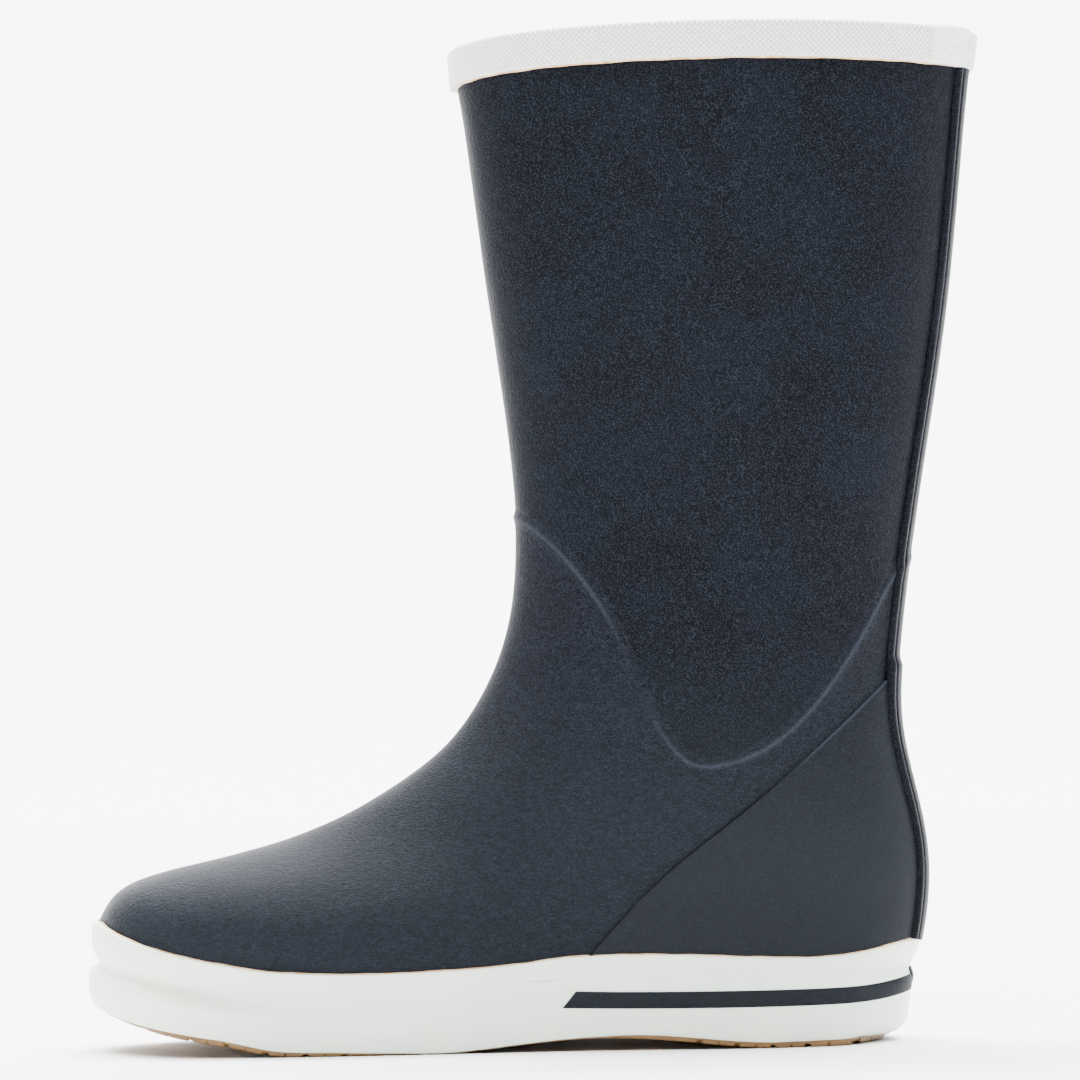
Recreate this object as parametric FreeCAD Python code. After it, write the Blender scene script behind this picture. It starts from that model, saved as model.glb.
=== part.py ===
import FreeCAD, Part
import math
import os

os.makedirs("parts", exist_ok=True)

# A knee-low rubber deck boot for the right foot.  Millimetres, +Z up, toe towards -X,
# inner side of the foot towards -Y.  The origin is under the middle of the boot, on the floor.
#
# Every layer of the upper follows one form: the shape of the foot and leg inside the outer
# rubber face.  Layers are offsets of that form, outwards positive.

# ---- driving dimensions ------------------------------------------------------------------

SHIFT = (-0.41, 0.3)     # moves the finished boot so that its box is centred on the origin

GLUE = 0.25              # clearance between two glued layers
RUBBER = 1.5             # outer rubber sheet
BACKING = 0.9            # reinforcing layer between rubber and lining
LINING = 1.2             # knitted textile lining
COUNTER = 1.4            # overlaid heel counter
TAPE = 0.6               # tape over the lining's back seam
TAPE_HALF_WIDTH = 9.0
STRIP = 1.7              # back strip
STRIP_HALF_WIDTH = 13.0
STRIP_STEP = (135.0, 147.0)   # heights over which the strip steps down off the counter

BINDING_HEIGHT = 14.5    # white collar binding, folded over the top edge
BINDING_OUTER = 3.6
BINDING_INNER = 4.6
BINDING_TOP = 2.0        # thickness of the fold over the edge
LAP = 1.1                # the binding's end lies on its own beginning
LAP_LOW = (126.0, -42.0)
LAP_HIGH = (149.0, -9.0)

FOXING_FRONT = 2.4       # thickness of the white foxing from the form, at the waist
FOXING_BACK = 3.4        # and over the heel counter
FOXING_TOE = 0.5         # extra thickness at the toe
GUM_SHOWING = 2.7        # gum below the white edge
ARCH_SHARE = 0.76        # how closely the white edge follows the raised waist
PLATE_TOP = 6.2          # top of the gum outsole
CORE_TOP = 12.0          # highest rim of the midsole
EDGE_WALL = 2.1          # white edge strip beside the sole core
LUG_INSET = 0.9          # gum lugs, inset from the white edge
PAD_FLAT = 0.1           # the ball and the heel are ground flat by this much
ARCH_RISE = 4.2          # how far the waist of the sole clears the floor
ARCH_MIDDLE = 10.0
ARCH_REACH = 52.0
TOE_SPRING = 0.0024      # curvature of the sole ahead of the ball
TOE_SPRING_START = -80.0
SOLE_LINE_STEP = 15

GROOVE_DEPTH = 2.0       # zigzag water channels across the tread
GROOVE_WIDTH = 2.4
GROOVE_PITCH = 13.0
GROOVE_SWING = 3.0
GROOVE_WAVE = 12.0
GROOVES_TOE = (-146.0, -40.0)
GROOVES_HEEL = (52.0, 122.0)

STRIPE_WIDTH = 5.2       # navy heel stripe let into the white edge
STRIPE_PROUD = 0.8
STRIPE_DEPTH = 1.6
STRIPE_FRONT = 9.5
STRIPE_SLANT = 2.0
STRIPE_JOINT_Y = -8.0    # where the two ends meet at the back
STRIPE_OFFSET = 2.2      # the outer half sits higher at the joint
STRIPE_OFFSET_RUN = (90.0, 125.0)

SHANK_LOW = (-38.0, -7.0, 7.2)
SHANK_HIGH = (72.0, 5.0, 8.4)

FOOTBED_SIDE = 6.0       # loose footbed, inset from the outer face
FOOTBED_DROP = 1.55
FOAM_TOP = 18.4
COVER_TOP = 19.6

MARGIN_INSET = 17.0      # inner edge of the margin lasted under the foot, from the outline
MARGIN_TOP = 14.0
BOARD_TOP = 13.2
BACKING_FOOT = 13.6      # the side reinforcements start above the insole board
TOE_PUFF_BACK = -98.0
ANKLE_FRONT = -62.0
SEAM_DROP = 16.0         # hidden joint of vamp and heel quarter, below the counter's edge
STIFFENER_DROP = 28.0
SEAM_ALLOWANCE = 1.5     # plies end this far short of the ridge
WAIST_X = 60.0           # the back half of the leg lies behind this
HALF_GIRTH = 60.0        # reach of the tread channels to each side
EDGE_GAP = 0.35          # clearance between two pieces that meet edge to edge

FAR = 400.0              # reach of the cutting bodies

# ---- the form ----------------------------------------------------------------------------

# One row per cross-section, from the collar down the leg, round the heel and out to the toe:
# front or top line (x, z), back or sole line (x, z), half width, squareness at the front,
# squareness at the back, and how far the fullness is moved towards the back line.
STATIONS = [
    (-26.8, 343.0, 152.8, 347.5, 43.5, 0.020, 0.000, 0.00),
    (-22.6, 318.0, 149.1, 318.0, 43.3, 0.020, 0.000, 0.00),
    (-18.2, 283.0, 145.4, 283.0, 42.6, 0.020, 0.000, 0.00),
    (-13.4, 246.0, 140.8, 245.0, 41.4, 0.015, 0.000, 0.00),
    (-8.8, 211.0, 134.9, 208.0, 39.8, 0.010, 0.000, 0.02),
    (-6.2, 180.0, 129.0, 173.0, 38.2, 0.005, 0.000, 0.03),
    (-7.6, 151.0, 124.2, 140.0, 37.2, 0.000, 0.000, 0.04),
    (-15.0, 126.5, 122.7, 109.0, 37.0, 0.000, 0.000, 0.06),
    (-27.5, 106.5, 128.0, 82.0, 37.4, 0.005, 0.005, 0.08),
    (-41.0, 94.2, 131.2, 58.0, 37.8, 0.015, 0.010, 0.10),
    (-54.0, 85.6, 128.2, 34.0, 38.6, 0.025, 0.015, 0.12),
    (-65.5, 79.3, 117.5, 15.5, 40.0, 0.030, 0.045, 0.14),
    (-76.0, 74.8, 88.0, 10.0, 41.5, 0.030, 0.075, 0.15),
    (-86.0, 71.2, 42.0, 9.5, 43.5, 0.030, 0.085, 0.16),
    (-95.5, 68.4, -8.0, 9.0, 46.0, 0.030, 0.085, 0.16),
    (-105.5, 65.8, -50.0, 9.0, 48.0, 0.030, 0.080, 0.15),
    (-116.5, 63.2, -85.0, 10.0, 47.5, 0.030, 0.070, 0.13),
    (-128.0, 60.6, -112.0, 12.5, 43.0, 0.025, 0.055, 0.10),
    (-138.5, 57.4, -132.0, 17.5, 34.5, 0.020, 0.040, 0.07),
    (-146.0, 52.4, -144.5, 25.0, 22.5, 0.010, 0.020, 0.04),
    (-150.6, 45.0, -150.4, 34.0, 9.0, 0.000, 0.000, 0.00),
]
TIP_X = -150.9                     # where the form ends at the toe
ABOVE_COLLAR = -0.7                # the form runs on above the collar, to be trimmed there
SECTION_STEP = 0.5
RING_POINTS = 28
FIX_TOLERANCE = 1e-3

# ---- side-view lines, (x, z) ---------------------------------------------------------------

# lower edge of the leg sheet: from the instep down to the ankle and up to the back
RIDGE = [
    (-40.0, 205.0), (-7.0, 181.5), (11.0, 164.8), (25.8, 142.6), (35.6, 118.4), (47.1, 98.9),
    (60.5, 94.4), (80.9, 102.4), (101.6, 124.0), (117.8, 150.6), (130.0, 168.0), (160.0, 200.0),
]
# upper edge of the heel counter
COUNTER_EDGE = [
    (0.0, 12.0), (18.1, 33.5), (41.7, 57.7), (65.2, 76.2), (101.4, 106.3), (130.0, 134.0),
    (160.0, 163.0),
]
# upper edge of the white foxing, toe to heel
FOXING_EDGE = [
    (-175.0, 47.5), (-149.0, 44.5), (-121.0, 37.6), (-97.0, 33.2), (-73.0, 30.0), (-35.0, 28.3),
    (8.0, 32.0), (55.0, 32.5), (88.0, 31.2), (120.0, 32.9), (136.0, 34.4), (160.0, 35.5),
]
# upper edge of the thicker white bumper, toe to heel
BUMPER_EDGE = [
    (-175.0, 34.0), (-155.7, 30.0), (-122.0, 23.0), (-82.5, 16.0), (-48.0, 14.2), (-15.0, 16.5),
    (8.6, 20.0), (45.0, 25.0), (80.0, 26.0), (128.0, 26.6), (160.0, 27.5),
]
# middle of the navy heel stripe, front to back
STRIPE_LINE = [
    (-10.0, 17.8), (8.0, 17.4), (40.0, 16.8), (95.0, 16.9), (120.0, 18.4), (135.0, 21.2),
]
# top of the collar binding
COLLAR_LINE = [(-60.0, 342.2), (190.0, 348.4)]

# ---- plan outline of the white edge, (x, y), round from the heel along the inner side ------

OUTLINE = [
    (128.9, 0.0), (122.8, -20.0), (111.3, -31.0), (96.0, -38.2), (60.0, -43.4), (20.0, -43.7),
    (-20.0, -46.8), (-55.0, -51.3), (-85.0, -53.3), (-115.0, -51.8), (-137.0, -42.4),
    (-150.5, -24.0), (-155.6, -3.6), (-150.5, 15.6), (-137.0, 32.0), (-110.0, 44.6),
    (-80.0, 51.2), (-50.0, 52.9), (-20.0, 51.7), (20.0, 48.6), (60.0, 44.4), (96.0, 38.2),
    (111.3, 31.0), (122.8, 20.0),
]


# ---- small mathematics ---------------------------------------------------------------------


def spline(values):
    """Natural cubic spline through values at 0, 1, 2 ... as a function."""
    count = len(values)
    lower = [0.0] * count
    bend = [0.0] * count
    for i in range(1, count - 1):
        pivot = 4.0 - lower[i - 1]
        lower[i] = 1.0 / pivot
        rise = values[i + 1] - 2.0 * values[i] + values[i - 1]
        bend[i] = (6.0 * rise - bend[i - 1]) / pivot
    for i in range(count - 2, 0, -1):
        bend[i] -= lower[i] * bend[i + 1]

    def at(u):
        i = min(max(int(math.floor(u)), 0), count - 2)
        b = u - i
        a = 1.0 - b
        curve = ((a ** 3 - a) * bend[i] + (b ** 3 - b) * bend[i + 1]) / 6.0
        return a * values[i] + b * values[i + 1] + curve

    return at


def smooth_step(x, low, high):
    """0 below low, 1 above high, with level ends."""
    t = min(max((x - low) / (high - low), 0.0), 1.0)
    return t * t * t * (t * (6.0 * t - 15.0) + 10.0)


def bell(x, centre, width):
    """A smooth bump of height 1."""
    return math.exp(-((x - centre) / width) ** 2)


COLUMNS = [spline([row[k] for row in STATIONS]) for k in range(8)]


def form_point(u, angle):
    """Point of the form: angle 0 on the front or top line, pi on the back or sole line."""
    front_x, front_z, back_x, back_z, width, square_front, square_back, shift = [
        column(u) for column in COLUMNS
    ]
    along = (1.0 - math.cos(angle)) / 2.0
    q = square_front + (square_back - square_front) * along
    c = -(math.cos(angle) - q * math.cos(3.0 * angle)) / (1.0 - q)
    s = (math.sin(angle) + q * math.sin(3.0 * angle)) / (1.0 - q)
    c += shift * (1.0 - c * c)
    t = (1.0 + c) / 2.0
    x = front_x + (back_x - front_x) * t
    y = width * s
    z = front_z + (back_z - front_z) * t
    return FreeCAD.Vector(x, y + sideways(x, y, z), z)


def sideways(x, y, z):
    """The two sides of a foot differ: arch and ball inside, little toe outside."""
    low = 1.0 - smooth_step(z, 30.0, 115.0)
    side = low * (y / 45.0) ** 2
    if y > 0.0:
        shape = 3.5 * bell(x, 5, 45) + 2.5 * bell(x, -42, 30) - 4.5 * bell(x, -125, 30)
    else:
        shape = 2.5 * bell(x, 12, 38) - 1.5 * bell(x, -68, 28) - 1.0 * bell(x, -115, 30)
    return side * shape - 4.0 * low * smooth_step(-x, 50.0, 165.0)


def form_normal(u, angle):
    """Outward unit normal of the form."""
    step = 1e-3
    v = min(u, len(STATIONS) - 1 - step)
    along = form_point(v + step, angle) - form_point(v - step, angle)
    around = form_point(v, angle + step) - form_point(v, angle - step)
    normal = around.cross(along)
    return normal.normalize()


def ring(u, grow):
    """Points round one cross-section, moved outwards by grow(x, z)."""
    points = []
    for k in range(RING_POINTS):
        angle = 2.0 * math.pi * k / RING_POINTS
        point = form_point(u, angle)
        points.append(point + form_normal(u, angle) * grow(point.x, point.z))
    return points


def flattened(points):
    """The same points dropped onto one plane, so that the section can be capped."""
    middle = points[RING_POINTS // 2]
    quarter = RING_POINTS // 4
    side = points[quarter] - points[-quarter]
    normal = (middle - points[0]).cross(side).normalize()
    return [point - normal * (point - points[0]).dot(normal) for point in points]


def interpolated(points, periodic):
    """Cubic spline through evenly spaced marks."""
    count = len(points)
    marks = list(range(count + 1)) if periodic else list(range(count))
    curve = Part.BSplineCurve()
    curve.interpolate(Points=points, PeriodicFlag=periodic, Parameters=marks)
    return curve


def skin(rings):
    """Smooth surface through closed rings of points."""
    around = [interpolated(points, True) for points in rings]
    columns = list(zip(*[curve.getPoles() for curve in around]))
    along = [interpolated(list(column), False) for column in columns]
    poles = list(zip(*[curve.getPoles() for curve in along]))
    surface = Part.BSplineSurface()
    surface.buildFromPolesMultsKnots(
        [list(row) for row in poles], along[0].getMultiplicities(), around[0].getMultiplicities(),
        along[0].getKnots(), around[0].getKnots(), False, True, 3, 3,
    )
    return surface.toShape()


FORMS = {}


def form(offset):
    """The whole form as a solid, grown by a number or by a function of x and z."""
    if offset in FORMS:
        return FORMS[offset]
    grow = offset if callable(offset) else (lambda x, z: offset)
    count = int(round((len(STATIONS) - 1) / SECTION_STEP))
    rings = [flattened(ring(ABOVE_COLLAR, grow))]
    rings += [ring(k * SECTION_STEP, grow) for k in range(count)]
    tip = ring(len(STATIONS) - 1, grow)
    tip_x = TIP_X - grow(TIP_X, tip[0].z)
    rings.append([FreeCAD.Vector(tip_x, point.y, point.z) for point in tip])
    side = skin(rings)
    ends = [edge for edge in side.Edges if edge.isClosed() and len(edge.Vertexes) == 1]
    caps = [Part.Face(Part.Wire([edge])) for edge in ends]
    solid = Part.makeSolid(Part.makeShell([side] + caps))
    solid.fix(FIX_TOLERANCE, FIX_TOLERANCE, FIX_TOLERANCE)
    FORMS[offset] = solid
    return solid


SHELLS = {}


def shell(outer, inner):
    """Layer of the upper between two offsets."""
    if (outer, inner) not in SHELLS:
        SHELLS[outer, inner] = form(outer).cut(form(inner))
    return SHELLS[outer, inner]


# ---- cutting bodies ------------------------------------------------------------------------


def spline_edge(points):
    """Edge through side-view or plan points."""
    curve = Part.BSplineCurve()
    curve.interpolate(Points=[FreeCAD.Vector(*point) for point in points])
    return curve.toShape()


def line_edges(points):
    """Straight edges through points."""
    vectors = [FreeCAD.Vector(*point) for point in points]
    return [Part.LineSegment(a, b).toShape() for a, b in zip(vectors, vectors[1:])]


def side_body(line, above):
    """Everything above, or below, a line drawn in side view; it runs on level at both ends."""
    points = [(x, -FAR, z) for x, z in line]
    reach = FAR * 2.0 if above else -FAR
    first = points[0]
    last = points[-1]
    corners = [
        last, (FAR, -FAR, last[2]), (FAR, -FAR, reach), (-FAR, -FAR, reach),
        (-FAR, -FAR, first[2]), first,
    ]
    outline = Part.Wire([spline_edge(points)] + line_edges(corners))
    return Part.Face(outline).extrude(FreeCAD.Vector(0.0, 2.0 * FAR, 0.0))


def above(line, rise=0.0):
    """Everything above a side-view line that is moved up by rise."""
    return side_body(raised(line, rise), True)


def below(line, rise=0.0):
    """Everything below a side-view line that is moved up by rise."""
    return side_body(raised(line, rise), False)


def box(low, high):
    """Block between two corners."""
    size = [b - a for a, b in zip(low, high)]
    return Part.makeBox(size[0], size[1], size[2], FreeCAD.Vector(*low))


def raised(line, rise):
    """A side-view line moved straight up."""
    return [(x, z + rise) for x, z in line]


def plan_body(inset, low, high):
    """Upright block inside the plan outline, inset from it."""
    points = []
    count = len(OUTLINE)
    for k in range(count):
        before = OUTLINE[k - 1]
        after = OUTLINE[(k + 1) % count]
        run_x = after[0] - before[0]
        run_y = after[1] - before[1]
        run = math.hypot(run_x, run_y)
        x = OUTLINE[k][0] + inset * run_y / run
        y = OUTLINE[k][1] - inset * run_x / run
        points.append(FreeCAD.Vector(x, y, low))
    curve = Part.BSplineCurve()
    curve.interpolate(Points=points, PeriodicFlag=True)
    face = Part.Face(Part.Wire([curve.toShape()]))
    return face.extrude(FreeCAD.Vector(0.0, 0.0, high - low))


def floor_height(x):
    """Underside of the tread without the arch: flat, then the toe spring."""
    return TOE_SPRING * max(TOE_SPRING_START - x, 0.0) ** 2


def arch_height(x):
    """How far the waist of the sole is raised."""
    reach = min(abs(x - ARCH_MIDDLE) / ARCH_REACH, 1.0)
    return ARCH_RISE * (1.0 - reach * reach) ** 2


def sole_line(rise, arch_share=0.0):
    """Side-view line parallel to the underside of the sole."""
    stations = range(-180, 181, SOLE_LINE_STEP)
    return [(float(x), floor_height(x) + arch_share * arch_height(x) + rise) for x in stations]


# ---- upper ---------------------------------------------------------------------------------


def leg_rubber():
    """Outer rubber of the leg, from the ankle line to the top edge."""
    sheet = shell(0.0, -RUBBER).common(above(RIDGE, EDGE_GAP))
    return sheet.common(below(COLLAR_LINE, -BINDING_TOP - GLUE))


def foot_sheet():
    """Outer rubber of the foot with its margin turned in under the last."""
    sheet = shell(0.0, -RUBBER).common(below(RIDGE))
    return sheet.cut(margin_window(0.0))


def margin_window(inset):
    """Space inside the lasted margin."""
    return plan_body(MARGIN_INSET + inset, 0.0, FAR).common(below(sole_line(MARGIN_TOP)))


def vamp_rubber():
    """Front and instep of the foot, running back round the ankle."""
    return foot_sheet().common(above(COUNTER_EDGE, -SEAM_DROP))


def heel_quarter():
    """Heel part of the upper, under the counter."""
    return foot_sheet().common(below(COUNTER_EDGE, -SEAM_DROP - EDGE_GAP))


def heel_counter():
    """Rubber overlay round the heel, with a slanting upper edge."""
    layer = shell(GLUE + COUNTER, GLUE).common(below(COUNTER_EDGE))
    return layer.common(above(sole_line(CORE_TOP + 2.0 * GLUE)))


def counter_room():
    """Space that the heel counter takes under the foxing."""
    layer = form(COUNTER + 2.0 * GLUE).common(below(COUNTER_EDGE, EDGE_GAP))
    return layer.common(above(sole_line(CORE_TOP + GLUE)))


def strip_base(x, z):
    """The back strip lies on the leg, and lower down on the counter."""
    return GLUE + (GLUE + COUNTER) * (1.0 - smooth_step(z, *STRIP_STEP))


def strip_face(x, z):
    """Outer face of the back strip."""
    return strip_base(x, z) + STRIP


def back_strip():
    """Rubber strip over the back seam."""
    strip = shell(strip_face, strip_base).common(
        box((WAIST_X, -STRIP_HALF_WIDTH, 0.0), (FAR, STRIP_HALF_WIDTH, FAR)))
    strip = strip.common(above(FOXING_EDGE, EDGE_GAP))
    return strip.common(below(COLLAR_LINE, -BINDING_HEIGHT - EDGE_GAP))


def collar_band(outer, inner):
    """Ring round the collar as high as the binding."""
    ring_body = shell(outer, inner).common(below(COLLAR_LINE))
    return ring_body.common(above(COLLAR_LINE, -BINDING_HEIGHT))


def collar_binding():
    """White tape folded over the top edge, with its end lapped over its beginning."""
    slot = shell(GLUE, -(RUBBER + LINING + 2.0 * GLUE)).common(below(COLLAR_LINE, -BINDING_TOP))
    lap = collar_band(BINDING_OUTER + LAP, BINDING_OUTER - GLUE).common(
        box(LAP_LOW + (0.0,), LAP_HIGH + (FAR,)))
    return collar_band(BINDING_OUTER, -BINDING_INNER).cut(slot).fuse(lap)


# ---- lining and reinforcement --------------------------------------------------------------


def backing_layer():
    """Reinforcing layer just inside the rubber."""
    outer = -(RUBBER + GLUE)
    return shell(outer, outer - BACKING)


def side_backing():
    """The reinforcing layer without its underside."""
    return backing_layer().common(above(sole_line(BACKING_FOOT)))


def toe_puff():
    """Stiff toe cap inside the vamp."""
    return side_backing().common(box((-FAR, -FAR, 0.0), (TOE_PUFF_BACK, FAR, FAR)))


def ankle_reinforcement():
    """Canvas ply round the ankle; its upper edge raises the ridge on the outside."""
    ply = side_backing().common(below(RIDGE, -SEAM_ALLOWANCE))
    ply = ply.common(above(COUNTER_EDGE, -STIFFENER_DROP))
    return ply.common(box((ANKLE_FRONT, -FAR, 0.0), (FAR, FAR, FAR)))


def heel_stiffener():
    """Moulded stiffener round the heel."""
    return side_backing().common(below(COUNTER_EDGE, -STIFFENER_DROP - EDGE_GAP))


def leg_lining():
    """Knitted lining of the leg."""
    outer = -(RUBBER + GLUE)
    sheet = shell(outer, outer - LINING).common(above(RIDGE))
    return sheet.common(below(COLLAR_LINE, -BINDING_TOP - GLUE))


def foot_lining():
    """Knitted sock lining of the foot, closed underneath."""
    outer = -(RUBBER + BACKING + 2.0 * GLUE)
    return shell(outer, outer - LINING).common(below(RIDGE, -EDGE_GAP))


def lining_seam_tape():
    """Tape over the lining's back seam."""
    outer = -(RUBBER + LINING + 2.0 * GLUE)
    tape = shell(outer, outer - TAPE).common(
        box((WAIST_X, -TAPE_HALF_WIDTH, 0.0), (FAR, TAPE_HALF_WIDTH, FAR)))
    tape = tape.common(above(RIDGE, SEAM_ALLOWANCE))
    return tape.common(below(COLLAR_LINE, -BINDING_HEIGHT - EDGE_GAP))


# ---- bottom --------------------------------------------------------------------------------


def insole_board():
    """Fibre board under the lining."""
    return backing_layer().common(below(sole_line(BOARD_TOP)))


def bottom_filler():
    """Filler inside the lasted margin."""
    return shell(0.0, -RUBBER).common(margin_window(EDGE_GAP))


def core(inset):
    """Block of the sole inside the white edge, under the last."""
    block = plan_body(EDGE_WALL + inset, -1.0, FAR).common(below(sole_line(CORE_TOP)))
    return block.cut(form(GLUE))


def midsole():
    """Rubber midsole, dished to the last, with a recess for the shank."""
    body = core(GLUE).common(above(sole_line(PLATE_TOP + GLUE)))
    low = [value - GLUE for value in SHANK_LOW]
    high = [SHANK_HIGH[0] + GLUE, SHANK_HIGH[1] + GLUE, FAR]
    return body.cut(box(low, high))


def arch_shank():
    """Flat steel spring that stiffens the waist."""
    return box(SHANK_LOW, SHANK_HIGH)


def groove(x):
    """Zigzag channel across the tread."""
    count = int(2.0 * HALF_GIRTH / GROOVE_WAVE) + 1
    zigzag = []
    for k in range(count):
        swing = GROOVE_SWING if k % 2 else -GROOVE_SWING
        zigzag.append((x + swing, -HALF_GIRTH + k * GROOVE_WAVE, -1.0))
    far_side = [(px + GROOVE_WIDTH, py, pz) for px, py, pz in reversed(zigzag)]
    outline = Part.Wire(line_edges(zigzag + far_side + zigzag[:1]))
    top = floor_height(x) + GROOVE_DEPTH
    return Part.Face(outline).extrude(FreeCAD.Vector(0.0, 0.0, top + 1.0))


def outsole():
    """Gum outsole: a plate inside the white edge, and lugs below it."""
    lugs = plan_body(LUG_INSET, -1.0, FAR).common(below(sole_line(GUM_SHOWING - GLUE, ARCH_SHARE)))
    plate = plan_body(EDGE_WALL + GLUE, -1.0, FAR).common(below(sole_line(PLATE_TOP)))
    sole = lugs.fuse(plate).common(above(sole_line(-PAD_FLAT, 1.0)))
    sole = sole.common(box((-FAR, -FAR, 0.0), (FAR, FAR, FAR)))
    cuts = []
    for start, stop in (GROOVES_TOE, GROOVES_HEEL):
        for k in range(int((stop - start) / GROOVE_PITCH) + 1):
            cuts.append(groove(start + k * GROOVE_PITCH))
    return sole.cut(cuts)


def foxing_face(x, z):
    """Outer face of the upper white band."""
    back = (FOXING_BACK - FOXING_FRONT) * smooth_step(x, -20.0, 60.0)
    toe = FOXING_TOE * smooth_step(-x, 120.0, 145.0)
    return FOXING_FRONT + back + toe


def upper_foxing():
    """Upper white band round the foot."""
    band = shell(foxing_face, GLUE).common(below(FOXING_EDGE))
    return band.common(above(BUMPER_EDGE, GLUE)).cut(counter_room())


def stripe_line(offset):
    """Middle line of the stripe, raised towards the back by offset."""
    return [(x, z + offset * smooth_step(x, *STRIPE_OFFSET_RUN)) for x, z in STRIPE_LINE]


def stripe_band(offset, side, gap):
    """One half of the stripe, or with a gap the groove that it lies in."""
    line = stripe_line(offset)
    depth = STRIPE_DEPTH + gap
    band = plan_body(-STRIPE_PROUD, 0.0, FAR).cut(plan_body(depth, 0.0, FAR))
    band = band.common(below(line, STRIPE_WIDTH / 2.0 + gap))
    band = band.common(above(line, -STRIPE_WIDTH / 2.0 - gap))
    low = STRIPE_LINE[1][1] - STRIPE_WIDTH
    high = STRIPE_LINE[1][1] + STRIPE_WIDTH
    slant = [
        (STRIPE_FRONT - STRIPE_SLANT * 2.0 - gap, -FAR, low), (FAR, -FAR, low),
        (FAR, -FAR, high + FAR), (STRIPE_FRONT + STRIPE_SLANT * 2.0 - gap, -FAR, high),
        (STRIPE_FRONT - STRIPE_SLANT * 2.0 - gap, -FAR, low),
    ]
    front = Part.Face(Part.Wire(line_edges(slant))).extrude(FreeCAD.Vector(0.0, 2.0 * FAR, 0.0))
    band = band.common(front)
    if side < 0:
        return band.common(box((-FAR, -FAR, 0.0), (FAR, STRIPE_JOINT_Y - EDGE_GAP + gap, FAR)))
    return band.common(box((-FAR, STRIPE_JOINT_Y, 0.0), (FAR, FAR, FAR)))


def heel_stripe_inner():
    """Navy stripe on the inner side."""
    return stripe_band(0.0, -1, 0.0)


def heel_stripe_outer():
    """Navy stripe on the outer side."""
    return stripe_band(STRIPE_OFFSET, 1, 0.0)


def bumper_band():
    """White lower band round the edge of the sole, filled in under the toe and the heel."""
    band = plan_body(0.0, -1.0, FAR).common(below(BUMPER_EDGE))
    band = band.common(above(sole_line(GUM_SHOWING, ARCH_SHARE)))
    band = band.cut(plan_body(EDGE_WALL, -1.0, FAR).common(below(sole_line(CORE_TOP + GLUE))))
    band = band.cut(form(GLUE)).cut(counter_room())
    band = band.cut(stripe_band(0.0, -1, GLUE)).cut(stripe_band(STRIPE_OFFSET, 1, GLUE))
    return largest(band)


def largest(shape):
    """The main solid of a shape, without cutting crumbs."""
    return max(shape.Solids, key=lambda solid: solid.Volume)


# ---- footbed -------------------------------------------------------------------------------


def footbed_block():
    """Form of the loose footbed, lowered onto the lining."""
    block = form(-FOOTBED_SIDE).copy()
    block.translate(FreeCAD.Vector(0.0, 0.0, -FOOTBED_DROP))
    return block


def footbed_foam():
    """Foam of the loose footbed."""
    return footbed_block().common(below(sole_line(FOAM_TOP)))


def footbed_cover():
    """Textile face of the loose footbed."""
    sheet = footbed_block().common(below(sole_line(COVER_TOP)))
    return sheet.common(above(sole_line(FOAM_TOP + GLUE)))


# ---- writing -------------------------------------------------------------------------------

NODES = [
    leg_rubber, vamp_rubber, heel_quarter, heel_counter, back_strip, collar_binding,
    toe_puff, ankle_reinforcement, heel_stiffener, leg_lining, foot_lining, lining_seam_tape,
    insole_board, bottom_filler, midsole, arch_shank, outsole, upper_foxing, bumper_band,
    heel_stripe_inner, heel_stripe_outer, footbed_foam, footbed_cover,
]

if __name__ == "__main__":
    whole = FreeCAD.BoundBox()
    for build in NODES:
        piece = build()
        piece.translate(FreeCAD.Vector(SHIFT[0], SHIFT[1], 0.0))
        piece.exportStep("parts/" + build.__name__ + ".step")
        size = piece.optimalBoundingBox()
        whole.add(size)
        print(build.__name__, len(piece.Solids), piece.isValid(), round(piece.Volume), size)
    print("whole boot", whole)
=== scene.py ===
import math

import bpy
import numpy as np
from mathutils import Matrix, Vector
from mathutils.bvhtree import BVHTree
from mathutils.kdtree import KDTree


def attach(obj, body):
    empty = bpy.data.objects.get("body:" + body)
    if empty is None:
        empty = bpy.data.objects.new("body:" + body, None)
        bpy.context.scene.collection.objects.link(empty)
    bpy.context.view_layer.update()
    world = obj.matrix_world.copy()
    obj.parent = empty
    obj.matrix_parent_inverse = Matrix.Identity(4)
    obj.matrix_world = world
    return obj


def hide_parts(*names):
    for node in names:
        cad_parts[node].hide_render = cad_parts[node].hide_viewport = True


# A rubber deck boot.  Lengths in this script are millimetres in the boot's own axes until
# a mesh is made; the frame is in metres and is shifted by SHIFT.

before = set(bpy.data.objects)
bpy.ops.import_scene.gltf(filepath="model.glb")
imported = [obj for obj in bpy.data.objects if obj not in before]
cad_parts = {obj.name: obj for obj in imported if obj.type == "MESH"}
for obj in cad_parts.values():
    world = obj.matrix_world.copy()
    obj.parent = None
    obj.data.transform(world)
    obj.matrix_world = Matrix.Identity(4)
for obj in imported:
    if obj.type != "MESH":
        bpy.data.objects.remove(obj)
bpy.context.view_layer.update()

MM = 0.001
SHIFT = np.array([-0.41, 0.3, 0.0])
TURN = 2.0 * math.pi

# ---- the form, as in the CAD model ---------------------------------------------------------

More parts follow.
